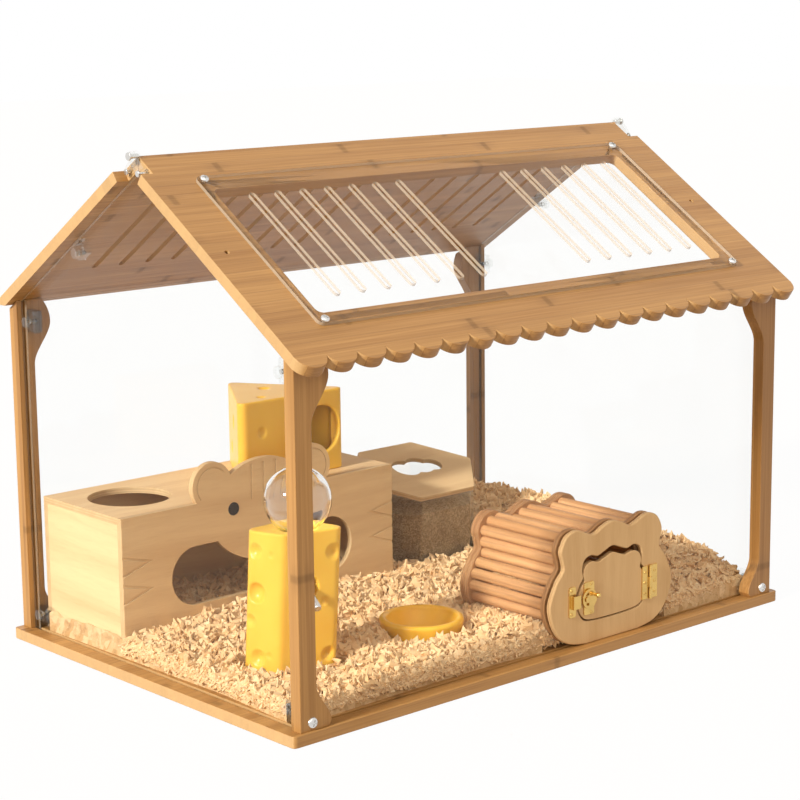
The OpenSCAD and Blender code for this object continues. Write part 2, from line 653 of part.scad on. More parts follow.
// Door and its catch: an eccentric cam on the door turns in behind the lip of the keeper
module door_board() color("tan") door_place() difference() {
    upright(outer_y, plate_t) polygon(curve(both_sides(door_half)));
    door_leaf_screw_places() small_screw_hole();
    latch_screw_places() small_screw_hole();
    rod_y(outer_y - cut, outer_y + 3.5, cam_u, cam_v, rivet_r + hole_fit);
}
cam_y = brass_y - fit - cam_t;
lip_y = cam_y - 0.4 - brass_t;
module keeper_2d() translate([keeper_u + keeper_w / 2, keeper_v + keeper_h / 2]) plate_2d(keeper_w, keeper_h, 2);
module latch_keeper() color("goldenrod") door_place() difference() {
    union() {
        upright(brass_y, brass_t) keeper_2d();
        translate([keeper_u + 2.4, lip_y, cam_v - 6]) cube([1.4, brass_y - lip_y, 12]);
        translate([keeper_u + 2.4, lip_y, cam_v - 6]) cube([keeper_w + 0.6, brass_t, 12]);
    }
    keeper_screw_places() brass_hole();
}
module keeper_screws() color("darkgoldenrod") door_place() keeper_screw_places() small_screw(brass_y);
module latch_plate() color("goldenrod") door_place() difference() {
    upright(brass_y, brass_t) translate([cam_u + 4.5, cam_v]) plate_2d(13, 30, 2);
    latch_screw_places() brass_hole();
    rod_y(brass_y - cut, outer_y + cut, cam_u, cam_v, rivet_r + hole_fit);
}
module latch_plate_screws() color("darkgoldenrod") door_place() latch_screw_places() small_screw(brass_y);
module latch_rivet() color("goldenrod") door_place() {
    rod_y(cam_y - fit - 1, cam_y - fit, cam_u, cam_v, 2.6);
    rod_y(cam_y - fit, outer_y + 3, cam_u, cam_v, rivet_r);
}
knob_r = 2.4;
module latch_cam() color("gold") door_place() {
    difference() {
        upright(cam_y, cam_t) difference() {
            translate([cam_u + cam_off, cam_v]) circle(cam_r);
            translate([cam_u + cam_off - 1, cam_v]) difference() {
                circle(cam_r - 3);
                translate([0, -far / 2]) square([far, far]);
                translate([-far, -3.4]) square([far + 2, 6.8]);
            }
        }
        rod_y(cam_y - cut, cam_y + cam_t + cut, cam_u, cam_v, rivet_r + hole_fit);
    }
    rod_y(cam_y - 4.4, cam_y, cam_u + cam_off + cam_r - 3, cam_v + 3, 1.5);
    translate([cam_u + cam_off + cam_r - 3, cam_y - 4.4, cam_v + 3]) sphere(knob_r);
}

// Hide: a plywood box without a floor, its front cut as an animal's face
module hide_place() translate([hide_cx, 0, floor_z]) children();
dome_r = 72;
dome_v = hide_h + 31.5 - dome_r;
ear_r = 22;
ear_u = 58;
ear_v = hide_h + 13.5;
mouth_r = 27;
mouth_u = 78;
mouth_v = 58;
muzzle_r = 69;
muzzle_v = mouth_v + 2 + muzzle_r;
eye_u = 34.5;
eye_v = hide_h - 11.5;
engrave = 0.8;
line_w = 1.1;
module mouth_2d() difference() {
    union() {
        for (m = [-1, 1]) translate([m * mouth_u, mouth_v]) circle(mouth_r);
        translate([-mouth_u, mouth_v - mouth_r]) square([2 * mouth_u, 2 * mouth_r]);
    }
    translate([0, muzzle_v]) circle(muzzle_r);
}
module face_2d() difference() {
    union() {
        translate([-hide_l / 2, 0]) square([hide_l, hide_h]);
        translate([0, dome_v]) circle(dome_r);
        for (m = [-1, 1]) translate([m * ear_u, ear_v]) circle(ear_r);
    }
    mouth_2d();
}
module whisker_2d(v) difference() {
    polygon([[0, v], [32, v - 8], [0, v - 19]]);
    polygon([[-cut, v - 2 * line_w], [32 - 6 * line_w, v - 8], [-cut, v - 19 + 2 * line_w]]);
}
module face_lines_2d() {
    for (m = [0, 1]) mirror([m, 0, 0]) {
        translate([ear_u, ear_v]) difference() {
            circle(ear_r - 4.5);
            circle(ear_r - 4.5 - line_w);
            rotate(-130) translate([0, -far / 2]) square([far, far]);
        }
        translate([-hide_l / 2, 0]) {
            whisker_2d(89);
            whisker_2d(64);
        }
    }
    for (u = [-14, 0, 14]) polygon([[u - 0.3, hide_h - 6], [u + 0.3, hide_h - 6], [u + 1.6, hide_h + 27], [u - 1.6, hide_h + 27]]);
}
module hide_front() color("wheat") hide_place() difference() {
    upright(hide_y, hide_t) face_2d();
    upright(hide_y - cut, engrave + cut) face_lines_2d();
    for (m = [-1, 1]) rod_y(hide_y - cut, hide_y + 3, m * eye_u, eye_v, eye_r + hole_fit);
}
module hide_eyes() color("black") hide_place() for (m = [-1, 1]) rod_y(hide_y - 0.4, hide_y + 3, m * eye_u, eye_v, eye_r);
hide_side_h = hide_h - hide_t;
module hide_back() color("wheat") hide_place() translate([-hide_l / 2, hide_y + hide_w - hide_t, 0])
    cube([hide_l, hide_t, hide_side_h]);
module hide_left() color("wheat") hide_place() translate([-hide_l / 2, hide_y + hide_t, 0])
    cube([hide_t, hide_w - 2 * hide_t, hide_side_h]);
module hide_right() color("wheat") hide_place() translate([hide_l / 2 - hide_t, hide_y + hide_t, 0])
    cube([hide_t, hide_w - 2 * hide_t, hide_side_h]);
module hide_top() color("wheat") hide_place() difference() {
    translate([-hide_l / 2, hide_y + hide_t, hide_side_h]) cube([hide_l, hide_w - hide_t, hide_t]);
    translate([-hide_l / 2 + 55.5, hide_y + hide_w / 2 + 5, 0]) cylinder(h = far, r = hide_hole_r);
}

// Cheese house: a hollow ceramic wedge on the hide's top
house_pts = [[-house_l / 2, 0], [house_l / 2, 0], [0, house_w]];
house_k = (house_w - 3.6 * house_wall) / house_w;
house_in = [for (p = house_pts) [p[0] * house_k, house_wall + p[1] * house_k]];
module dimple(p, r) translate(p) sphere(r);
module cheese_house() color("gold") translate([house_x, house_y, hide_z]) difference() {
    linear_extrude(house_h) polygon(rounded(house_pts, 6));
    translate([0, 0, -cut]) linear_extrude(house_h - house_wall + cut) polygon(rounded(house_in, 4));
    rod_y(-cut, house_wall + cut, house_l / 4, house_h / 2 + 2, house_hole_r);
    dimple([-house_l / 2 + 28, -6, house_h - 30], 8);
    dimple([-house_l / 2 + 14, -5, 16], 7);
    dimple([-house_l / 2 + 40, 16, house_h + 5], 7);
    dimple([4, 50, house_h + 5], 8);
    dimple([24, 22, house_h + 4], 6);
    dimple([-38, 47, house_h * 0.66], 7);
    dimple([-26, 67, house_h * 0.3], 7);
    dimple([40, 47, house_h * 0.55], 9);
}

// Water tower: a ceramic wedge with a bore for the glass ball's neck and a hole for the spout
tower_front = 58;
tower_turn = 16;
tower_back = 44;
tower_deep = 40;
tower_out = 12;
tower_left = 37.5;
tower_pts = [[0, 0], [tower_front, -tower_turn], [tower_back, tower_deep], [-tower_out, tower_left]];
lean_x = -5;
lean_y = 4.5;
tower_lean = [lean_x, lean_y];
tower_round = 7;
face_a = atan2(tower_pts[1][1], tower_pts[1][0]);
module tower_at() translate([bore_x, bore_y, 0]) rotate(face_a) children();
seal_up = 20;
seal_h = 19;
seal_floor = 7;
seal_lip = 4;
spout_disc = 8;
spout_start = 7;
spout_l = 44;
spout_a = 120;
seal_z = spout_z + seal_up;
neck_z = seal_z + seal_floor;
module cheese_tower() color("gold") difference() {
    translate([tower_x, tower_y, floor_z]) hull() {
        linear_extrude(0.1) polygon([for (p = rounded(tower_pts, tower_round)) p + tower_lean]);
        translate([0, 0, tower_h - 0.1]) linear_extrude(0.1) polygon(rounded(tower_pts, tower_round));
    }
    translate([bore_x, bore_y, spout_z]) cylinder(h = far, r = bore_r);
    translate([bore_x, bore_y, ball_z]) sphere(ball_r + fit);
    tower_at() rod_y(-far, -cut, 0, spout_hole_z, spout_hole_r);
    translate([tower_x, tower_y, floor_z]) {
        dimple([-9, 10, tower_h * 0.86], 6);
        dimple([-14, 24, tower_h * 0.6], 10);
        dimple([-13, 14, tower_h * 0.44], 5);
        dimple([-12, 12, tower_h * 0.2], 6);
        dimple([46, -17, tower_h * 0.83], 6);
        dimple([42, -15, tower_h * 0.5], 4);
        dimple([40, -13, tower_h * 0.19], 6);
        dimple([14, 44, tower_h * 0.7], 9);
        dimple([30, 44, tower_h * 0.35], 8);
        dimple([54, 12, tower_h * 0.4], 8);
    }
}
module drinking_spout() color("silver") union() {
    translate([bore_x, bore_y, seal_z - spout_disc]) cylinder(h = spout_disc, r = bore_r - hole_fit);
    tower_at() translate([0, 0, seal_z - spout_start]) rotate([spout_a, 0, 0]) cylinder(h = spout_l, r = spout_r);
}
module ball_seal() color("dimgray") translate([bore_x, bore_y, seal_z]) difference() {
    cylinder(h = seal_h, r = bore_r - hole_fit);
    translate([0, 0, seal_floor - fit]) cylinder(h = far, r = neck_r + fit);
    translate([0, 0, -cut]) cylinder(h = far, r = neck_r - seal_lip);
}
module water_ball() color("lightcyan", 0.4) translate([bore_x, bore_y, 0]) difference() {
    union() {
        translate([0, 0, ball_z]) sphere(ball_r);
        translate([0, 0, neck_z]) cylinder(h = ball_z - neck_z, r = neck_r);
    }
    translate([0, 0, ball_z]) sphere(ball_r - ball_wall);
    translate([0, 0, neck_z - cut]) cylinder(h = ball_z - neck_z, r = neck_r - ball_wall);
}

// Food bowl
bowl_foot = 0.88;
module food_bowl() color("goldenrod") translate([bowl_x, bowl_y, floor_z]) rotate_extrude($fn = 96) union() {
    polygon([[0, 0], [bowl_r * bowl_foot, 0], [bowl_r, bowl_h - bowl_wall / 2],
        [bowl_r - bowl_wall, bowl_h - bowl_wall / 2], [bowl_r * bowl_foot - bowl_wall, bowl_wall], [0, bowl_wall]]);
    translate([bowl_r - bowl_wall / 2, bowl_h - bowl_wall / 2]) circle(bowl_wall / 2);
}

// Sand bath: a clear six-sided jar with a sloping rim, the sand in it and a plywood lid
jar_pts = [[-jar_flat / 2, -jar_w / 2], [jar_flat / 2, -jar_w / 2], [jar_l / 2, 0], [jar_flat / 2, jar_w / 2],
    [-jar_flat / 2, jar_w / 2], [-jar_l / 2, 0]];
function jar_inset(d) = [for (p = jar_pts) [p[0] * (1 - 2.3 * d / jar_l), p[1] * (1 - 2 * d / jar_w)]];
module jar_place() translate([jar_x, jar_y, floor_z]) children();
module rim_frame() translate([0, -jar_w / 2, jar_h]) rotate([lid_a, 0, 0]) children();
module sand_jar() color("lightcyan", 0.4) jar_place() difference() {
    linear_extrude(jar_h + jar_w) polygon(rounded(jar_pts, 5));
    translate([0, 0, jar_wall]) linear_extrude(far) polygon(rounded(jar_inset(jar_wall), 3));
    rim_frame() translate([-far / 2, -far / 2, 0]) cube([far, far, far]);
}
module bath_sand() color("rosybrown") jar_place() translate([0, 0, jar_wall])
    linear_extrude(sand_h - jar_wall) polygon(rounded(jar_inset(jar_wall + fit), 3));
lid_lobe = 15;
module sand_lid() color("wheat") jar_place() rim_frame() translate([0, jar_w / 2 / cos(lid_a), 0]) difference() {
    linear_extrude(lid_t) polygon(rounded([for (p = jar_pts) [p[0], p[1] / cos(lid_a)]], 5));
    translate([6, 6, -cut]) linear_extrude(lid_t + 2 * cut) {
        for (u = [-14, 4]) translate([u, 0]) circle(lid_lobe);
        translate([18, -3]) circle(lid_lobe - 4);
    }
}

// Bedding: a bank of wood chips over the floor, with room left round everything that stands in it
bed_x = side_xi - cut;
bed_y = wall_yi - cut;
bed_nx = 50;
bed_ny = 33;
bed_row = bed_nx + 1;
bed_seed = 7;
bed_lumps = rands(-bed_clump, bed_clump, bed_row * (bed_ny + 1), bed_seed);
function bed_top(x, y) = floor_z + bed_h
    + bed_rise * smooth((x - side_xi + 150) / 130) * smooth((y + wall_yi - 60) / 170);
bed_pts = [for (j = [0:bed_ny], i = [0:bed_nx])
    let (x = -bed_x + 2 * bed_x * i / bed_nx, y = -bed_y + 2 * bed_y * j / bed_ny)
    [x, y, bed_top(x, y) + bed_lumps[j * bed_row + i]]];
bed_low = len(bed_pts);
bed_edge = concat([for (i = [0:bed_nx]) i], [for (j = [1:bed_ny]) j * bed_row + bed_nx],
    [for (i = [bed_nx - 1:-1:0]) bed_ny * bed_row + i], [for (j = [bed_ny - 1:-1:1]) j * bed_row]);
bed_rim = len(bed_edge);
bed_faces = concat(
    [for (j = [0:bed_ny - 1], i = [0:bed_nx - 1]) let (a = j * bed_row + i) each
        [[a, a + bed_row, a + 1], [a + 1, a + bed_row, a + bed_row + 1]]],
    [for (k = [0:bed_rim - 1]) let (n = (k + 1) % bed_rim) each
        [[bed_edge[k], bed_edge[n], bed_low + k], [bed_edge[n], bed_low + n, bed_low + k]]],
    [[for (k = [0:bed_rim - 1]) bed_low + k]]);
module bed_heap() polyhedron(concat(bed_pts, [for (e = bed_edge) [bed_pts[e][0], bed_pts[e][1], floor_z]]), bed_faces);
module room_for(x0, y0, x1, y1) translate([x0 - wood_gap, y0 - wood_gap, -cut])
    cube([x1 - x0 + 2 * wood_gap, y1 - y0 + 2 * wood_gap, far]);
// The resize to its own length makes the bank one facetted body
module bedding() color("navajowhite") resize([2 * bed_x, 0, 0]) difference() {
    bed_heap();
    four_corners() room_for(-side_xi, -wall_yi, -side_xi + block_w, -wall_yi + block_d);
    room_for(door_x - cloud_r, -wall_yi, door_x + cloud_r, ring_y + 2 * plate_t);
    room_for(hide_cx - hide_l / 2, hide_y, hide_cx + hide_l / 2, hide_y + hide_t);
    room_for(hide_cx - hide_l / 2, hide_y + hide_w - hide_t, hide_cx + hide_l / 2, hide_y + hide_w);
    for (m = [-1, 1]) translate([hide_cx + m * (hide_l - hide_t) / 2, 0, 0])
        room_for(-hide_t / 2, hide_y, hide_t / 2, hide_y + hide_w);
    translate([tower_x, tower_y, 0]) linear_extrude(far) polygon([[-20, -6], [1, -8], [62, -20], [48, 46], [-21, 47]]);
    translate([bowl_x, bowl_y, 0]) cylinder(h = far, r = bowl_r + wood_gap);
    translate([jar_x, jar_y, 0]) linear_extrude(far) polygon(jar_inset(-wood_gap));
}

base_board();
post_front_left();
post_front_right();
post_back_left();
post_back_right();
base_screws();
front_panel();
back_panel();
side_panel_left();
side_panel_right();
corner_blocks();
panel_bolts();
post_screws();
back_roof_board();
back_roof_screws();
back_hinge_leaves();
ridge_pins();
back_hinge_screws();
front_roof_board();
roof_window();
window_screws();
front_hinge_leaves();
front_hinge_screws();
door_outer_plate();
door_inner_plate();
tunnel_slats();
tunnel_inner_ring();
tunnel_end_ring();
frame_hinge_leaf();
frame_hinge_screws();
hinge_pin();
latch_keeper();
keeper_screws();
door_board();
door_hinge_leaf();
door_hinge_screws();
latch_plate();
latch_plate_screws();
latch_rivet();
latch_cam();
hide_front();
hide_back();
hide_left();
hide_right();
hide_top();
hide_eyes();
cheese_house();
cheese_tower();
drinking_spout();
ball_seal();
water_ball();
food_bowl();
sand_jar();
bath_sand();
sand_lid();
bedding();
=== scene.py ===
import json
import math
import random

import bmesh
import bpy
from mathutils import Matrix, Vector, noise
from mathutils.bvhtree import BVHTree

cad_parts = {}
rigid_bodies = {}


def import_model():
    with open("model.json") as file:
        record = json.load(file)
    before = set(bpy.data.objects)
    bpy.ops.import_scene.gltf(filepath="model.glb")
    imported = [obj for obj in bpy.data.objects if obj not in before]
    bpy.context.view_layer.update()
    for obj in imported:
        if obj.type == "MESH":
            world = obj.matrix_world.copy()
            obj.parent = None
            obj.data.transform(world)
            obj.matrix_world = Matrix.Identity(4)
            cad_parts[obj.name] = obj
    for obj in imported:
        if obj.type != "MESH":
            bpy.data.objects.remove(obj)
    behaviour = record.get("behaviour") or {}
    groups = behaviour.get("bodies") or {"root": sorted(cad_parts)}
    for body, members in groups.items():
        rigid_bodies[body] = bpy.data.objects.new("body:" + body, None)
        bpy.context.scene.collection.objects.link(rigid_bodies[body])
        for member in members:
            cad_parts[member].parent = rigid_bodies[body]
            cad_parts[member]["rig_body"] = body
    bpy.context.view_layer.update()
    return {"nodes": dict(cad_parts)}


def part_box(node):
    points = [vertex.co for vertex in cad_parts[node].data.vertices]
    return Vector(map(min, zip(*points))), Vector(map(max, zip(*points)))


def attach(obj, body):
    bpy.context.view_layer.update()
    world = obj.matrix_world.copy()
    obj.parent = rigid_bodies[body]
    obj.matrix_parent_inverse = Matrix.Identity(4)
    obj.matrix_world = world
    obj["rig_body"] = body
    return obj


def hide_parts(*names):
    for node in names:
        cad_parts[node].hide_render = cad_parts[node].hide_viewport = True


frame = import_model()
cad = frame["nodes"]

# Studio: a pale floor under a white sky, a warm low key light from the cage's left
# end, and the camera at the height and angle of a person looking in from the front.
scene = bpy.context.scene
scene.view_settings.view_transform = "Standard"
stand = Vector((-1.2907, -1.4474, 0.582))
yaw = math.radians(41.67)
pitch = math.radians(10.85)
roll = math.radians(-0.66)
ahead = Vector((math.sin(yaw) * math.cos(pitch), math.cos(yaw) * math.cos(pitch), -math.sin(pitch)))
level = Vector((math.cos(yaw), -math.sin(yaw), 0))
above = level.cross(ahead)
across = level * math.cos(roll) + above * math.sin(roll)
upward = above * math.cos(roll) - level * math.sin(roll)
camera = bpy.data.objects.new("camera", bpy.data.cameras.new("camera"))
camera.data.sensor_width = 36
camera.data.lens = 95.9
camera.data.clip_start = 0.05
camera.matrix_world = Matrix.Translation(stand) @ Matrix((across, upward, -ahead)).transposed().to_4x4()
scene.collection.objects.link(camera)
scene.camera = camera


def sun(name, toward, colour, strength, wide):
    """Sunlight along the given direction, from a disc that many degrees wide."""
    data = bpy.data.lights.new(name, "SUN")
    data.color = colour
    data.energy = strength
    data.angle = math.radians(wide)
    held = bpy.data.objects.new(name, data)
    held.rotation_euler = Vector(toward).to_track_quat("-Z", "Y").to_euler()
    scene.collection.objects.link(held)


sun("window_light", (0.86, 0.05, -0.42), (1.0, 0.92, 0.78), 3.7, 7)
sun("room_light", (0.28, 0.68, -0.68), (1.0, 0.92, 0.80), 0.65, 60)

sky = bpy.data.worlds.new("white_room")
scene.world = sky
sky.use_nodes = True
sky_tree = sky.node_tree
sky_tree.nodes.clear()
seen = sky_tree.nodes.new("ShaderNodeLightPath")
glow = sky_tree.nodes.new("ShaderNodeBackground")
glow.inputs["Color"].default_value = (1, 0.80, 0.58, 1)
glow.inputs["Strength"].default_value = 0.52
backdrop = sky_tree.nodes.new("ShaderNodeBackground")
backdrop.inputs["Color"].default_value = (1, 1, 1, 1)
in_sight = seen.outputs["Is Camera Ray"]
for way in ("Is Transmission Ray", "Is Glossy Ray"):
    either = sky_tree.nodes.new("ShaderNodeMath")
    either.operation = "MAXIMUM"
    sky_tree.links.new(in_sight, either.inputs[0])
    sky_tree.links.new(seen.outputs[way], either.inputs[1])
    in_sight = either.outputs[0]
sky_pick = sky_tree.nodes.new("ShaderNodeMixShader")
sky_tree.links.new(in_sight, sky_pick.inputs[0])
sky_tree.links.new(glow.outputs[0], sky_pick.inputs[1])
sky_tree.links.new(backdrop.outputs[0], sky_pick.inputs[2])
sky_out = sky_tree.nodes.new("ShaderNodeOutputWorld")
sky_tree.links.new(sky_pick.outputs[0], sky_out.inputs[0])


class Sock:
    """A value on one finish's node tree. Arithmetic on it adds Math nodes."""

    def __init__(self, finish, socket):
        self.finish = finish
        self.socket = socket

    def math(self, operation, first, second=0.0):
        return self.finish.node("ShaderNodeMath", {"operation": operation}, {0: first, 1: second})

    def __add__(self, other):
        return self.math("ADD", self, other)

    def __radd__(self, other):
        return self.math("ADD", other, self)

    def __sub__(self, other):
        return self.math("SUBTRACT", self, other)

    def __mul__(self, other):
        return self.math("MULTIPLY", self, other)

    def __truediv__(self, other):
        return self.math("DIVIDE", self, other)

    def __abs__(self):
        return self.math("ABSOLUTE", self)

    def floor(self):
        return self.math("FLOOR", self)

    def fract(self):
        return self.math("FRACT", self)

    def ramp(self, low, high):
        """0 below low, 1 above high, smooth between; falling where low is the larger."""
        settings = {"interpolation_type": "SMOOTHSTEP"}
        limits = {1: low, 2: high, 3: 0.0, 4: 1.0} if low < high else {1: high, 2: low, 3: 1.0, 4: 0.0}
        return self.finish.node("ShaderNodeMapRange", settings, {0: self, **limits})


class Finish:
    """One material, built node by node."""

    def __init__(self, name):
        self.material = bpy.data.materials.new(name)
        self.material.use_nodes = True
        self.tree = self.material.node_tree
        self.tree.nodes.clear()

    def node(self, kind, settings, inputs, out=0):
        made = self.tree.nodes.new(kind)
        for key, value in settings.items():
            setattr(made, key, value)
        for key, value in inputs.items():
            if isinstance(value, Sock):
                self.tree.links.new(value.socket, made.inputs[key])
            else:
                made.inputs[key].default_value = value
        return Sock(self, made.outputs[out])

    def place(self, turn=(0, 0, 0)):
        """Object coordinates in metres, turned."""
        flat = self.node("ShaderNodeTexCoord", {}, {}, "Object")
        angles = tuple(math.radians(a) for a in turn)
        return self.node("ShaderNodeMapping", {}, {"Vector": flat, "Rotation": angles})

    def facing(self, turn=(0, 0, 0)):
        """The surface's own direction, turned as place() turns."""
        flat = self.node("ShaderNodeTexCoord", {}, {}, "Normal")
        angles = tuple(math.radians(a) for a in turn)
        return self.node("ShaderNodeMapping", {"vector_type": "NORMAL"}, {"Vector": flat, "Rotation": angles})

    def split(self, vector):
        return [self.node("ShaderNodeSeparateXYZ", {}, {0: vector}, axis) for axis in "XYZ"]

    def join(self, x, y, z):
        return self.node("ShaderNodeCombineXYZ", {}, {0: x, 1: y, 2: z})

    def stretch(self, vector, factors):
        return self.node("ShaderNodeVectorMath", {"operation": "MULTIPLY"}, {0: vector, 1: factors})

    def noise(self, vector, scale, detail=3.0, rough=0.55):
        inputs = {"Vector": vector, "Scale": scale, "Detail": detail, "Roughness": rough}
        return self.node("ShaderNodeTexNoise", {}, inputs)

    def draw(self, number):
        """A random value from 0 to 1 for each whole number."""
        return self.node("ShaderNodeTexWhiteNoise", {"noise_dimensions": "1D"}, {"W": number})

    def mix(self, share, first, second):
        colours = [c if isinstance(c, Sock) else (*c, 1) for c in (first, second)]
        settings = {"data_type": "RGBA"}
        return self.node("ShaderNodeMix", settings, {0: share, 6: colours[0], 7: colours[1]}, 2)

    def glance(self, straight):
        """How much a clear face mirrors: that share seen straight on and all of it at a grazing angle."""
        lean = self.node("ShaderNodeLayerWeight", {}, {"Blend": 0.5}, "Facing")
        return lean.math("POWER", lean, 5.0) * (1 - straight) + straight

    def bump(self, height, depth, strength=1.0):
        return self.node("ShaderNodeBump", {}, {"Height": height, "Distance": depth, "Strength": strength})

    def coat(self, **inputs):
        """A Principled surface. Names are the sockets' own, with underscores for blanks."""
        named = {key.replace("_", " "): value for key, value in inputs.items()}
        return self.node("ShaderNodeBsdfPrincipled", {}, named)

    def done(self, surface):
        end = self.tree.nodes.new("ShaderNodeOutputMaterial")
        self.tree.links.new(surface.socket, end.inputs["Surface"])
        return self.material


# The floor the cage stands on: a wide pale sheet, white to the eye, that still
# takes the cage's shadow.
paper = Finish("pale_floor")
sight = paper.node("ShaderNodeLightPath", {}, {}, "Is Camera Ray")
for way in ("Is Glossy Ray", "Is Transmission Ray"):
    sight = sight.math("MAXIMUM", sight, paper.node("ShaderNodeLightPath", {}, {}, way))
matt = paper.node("ShaderNodeBsdfDiffuse", {}, {"Color": (0.52, 0.46, 0.39, 1)})
white = paper.node("ShaderNodeEmission", {}, {"Color": (1, 1, 1, 1), "Strength": 1.03})
paper.done(paper.node("ShaderNodeMixShader", {}, {0: sight * 0.94, 1: matt, 2: white}))
floor_mesh = bpy.data.meshes.new("floor")
floor_half = 9.0
floor_drop = -0.0005
floor_mesh.from_pydata(
    [(-floor_half, -floor_half, floor_drop), (floor_half, -floor_half, floor_drop),
     (floor_half, floor_half, floor_drop), (-floor_half, floor_half, floor_drop)],
    [], [(0, 1, 2, 3)])
floor_mesh.materials.append(paper.material)
ground = bpy.data.objects.new("floor", floor_mesh)
scene.collection.objects.link(ground)


# Base board: laminated bamboo, planed strips glued side by side with their grain along
# the cage, edges broken with sandpaper, grooved for the walls and screwed up into the posts.
def bamboo(name, turn, strip, light, dark):
    """Laminated bamboo with its grain along X and its strips along Y once turned. Cut ends are paler: partly
    the end grain's own tone, partly painted light.
    """
    wood = Finish(name)
    spot = wood.place(turn)
    x, y, z = wood.split(spot)
    lane = (y / strip + 0.37).floor() + (z / 0.2 + 0.5).floor() * 17
    lot = wood.draw(lane)
    run = x + lot * 4.3
    fibre = wood.noise(wood.join(run * 9, y * 620, z * 620), 1.0, 4.0, 0.62)
    streak = wood.noise(wood.join(run * 2.6, y * 150, z * 150), 1.0, 3.0)
    cloud = wood.noise(wood.join(run * 5, y * 22, z * 22), 1.0, 2.0)
    seam = abs((y / strip + 0.37).fract() - 0.5).ramp(0.478, 0.498)
    ring = abs((run / 0.31).fract() - 0.5)
    knuckle = ring.ramp(0.016, 0.004) * (0.35 + streak)
    halo = ring.ramp(0.060, 0.008) * streak.ramp(0.35, 0.6)
    # Faces across the grain, painted paler below: partly end grain, partly painted light.
    end = abs(wood.split(wood.facing(turn))[0]).ramp(0.6, 0.9)
    depth = fibre.ramp(0.30, 0.72) * 0.42 + streak.ramp(0.32, 0.68) * 0.34 + lot * 0.40
    tone = wood.mix(depth, light, dark)
    tone = wood.mix(cloud.ramp(0.4, 0.75) * 0.25, tone, tuple(c * 0.74 for c in dark))
    tone = wood.mix(halo * 0.30, tone, tuple(c * 0.66 for c in dark))
    tone = wood.mix(knuckle * 0.50, tone, tuple(c * 0.42 for c in dark))
    tone = wood.mix(seam * 0.40, tone, tuple(c * 0.45 for c in dark))
    # Paler cut ends: partly the end grain's own tone, partly painted light.
    tone = wood.mix(end * 0.60, tone, tuple(c ** 0.62 for c in light))
    height = fibre * 0.5 + streak * 0.2 - seam * 0.6 - knuckle * 0.4
    return wood.done(wood.coat(
        Base_Color=tone, Roughness=0.36 + fibre * 0.16 + knuckle * 0.1, IOR=1.46,
        Coat_Weight=0.12, Coat_Roughness=0.25, Normal=wood.bump(height, 0.00035, 0.5)))


def merged(node):
    """A copy of a CAD node's mesh with its triangles joined up and its flats made whole."""
    form = bmesh.new()
    form.from_mesh(cad[node].data)
    bmesh.ops.remove_doubles(form, verts=form.verts, dist=1e-6)
    bmesh.ops.dissolve_limit(form, angle_limit=math.radians(0.8), verts=form.verts, edges=form.edges)
    mesh = bpy.data.meshes.new(node + "_form")
    form.to_mesh(mesh)
    form.free()
    mesh.materials.clear()
    return mesh


def smooth(mesh):
    """Smooth shading all over."""
    for face in mesh.polygons:
        face.use_smooth = True


def shaded(mesh, angle=38):
    """Smooth shading with creases where the surface turns by more than the angle."""
    smooth(mesh)
    mesh.set_sharp_from_angle(angle=math.radians(angle))


def settled(name, mesh, *modifiers):
    """A new object whose modifiers are already applied to its mesh."""
    rough = bpy.data.objects.new(name, mesh)
    scene.collection.objects.link(rough)
    for kind, values in modifiers:
        step = rough.modifiers.new(kind.lower(), kind)
        for key, value in values.items():
            setattr(step, key, value)
    bpy.context.view_layer.update()
    seen_by = bpy.context.evaluated_depsgraph_get()
    baked = bpy.data.meshes.new_from_object(rough.evaluated_get(seen_by))
    rough.modifiers.clear()
    rough.data = baked
    return rough


def stands_for(piece, finish, *nodes):
    """A finished piece takes the place and the body of its CAD nodes."""
    piece.data.materials.clear()
    piece.data.materials.append(finish)
    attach(piece, cad[nodes[0]]["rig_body"])
    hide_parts(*nodes)
    return piece


def eased(node, finish, width, segments=2, angle=32):
    """The CAD piece with its sharp edges sanded round."""
    bevel = {"width": width, "segments": segments, "limit_method": "ANGLE",
             "angle_limit": math.radians(angle), "use_clamp_overlap": False}
    rounded = settled(node + "_rounded", merged(node), ("BEVEL", bevel))
    shaded(rounded.data)
    flats = {"keep_sharp": True, "weight": 90}
    piece = settled(node + "_eased", rounded.data, ("WEIGHTED_NORMAL", flats))
    bpy.data.objects.remove(rounded)
    return stands_for(piece, finish, node)


def dressed(node, finish):
    """A CAD piece that keeps its own mesh and gets a new finish."""
    mesh = cad[node].data
    mesh.materials.clear()
    mesh.materials.append(finish)


bamboo_light = (0.56, 0.32, 0.115)
bamboo_dark = (0.345, 0.17, 0.05)
flat_bamboo = bamboo("bamboo_base", (0, 0, 0), 0.011, bamboo_light, bamboo_dark)
eased("base_board", flat_bamboo, 0.0006, 3)

# Corner posts: bamboo board cut to a slim shaft with a curved ear under the roof and a
# curved foot, grain upright, a screw through each foot.
upright_bamboo = bamboo("bamboo_posts", (0, 90, 0), 0.0095, bamboo_light, bamboo_dark)
for corner in ("front_left", "front_right", "back_left", "back_right"):
    eased("post_" + corner, upright_bamboo, 0.0005, 3)


# Screws: nickel-plated pan heads with a cross recess, each driven to its own turn. The
# countersunk ones under the base have the same plating.
def plated(name, colour, rough, grain):
    """Polished metal with fine handling marks."""
    metal = Finish(name)
    marks = metal.noise(metal.stretch(metal.place(), (1, 1, 3)), grain, 4.0, 0.7)
    smear = metal.noise(metal.place(), 60.0, 2.0)
    shade = metal.mix(smear.ramp(0.35, 0.75) * 0.35, colour, tuple(c * 0.62 for c in colour))
    return metal.done(metal.coat(
        Base_Color=shade, Metallic=1.0, Roughness=rough + marks * 0.16,
        Normal=metal.bump(marks, 0.00004, 0.35)))


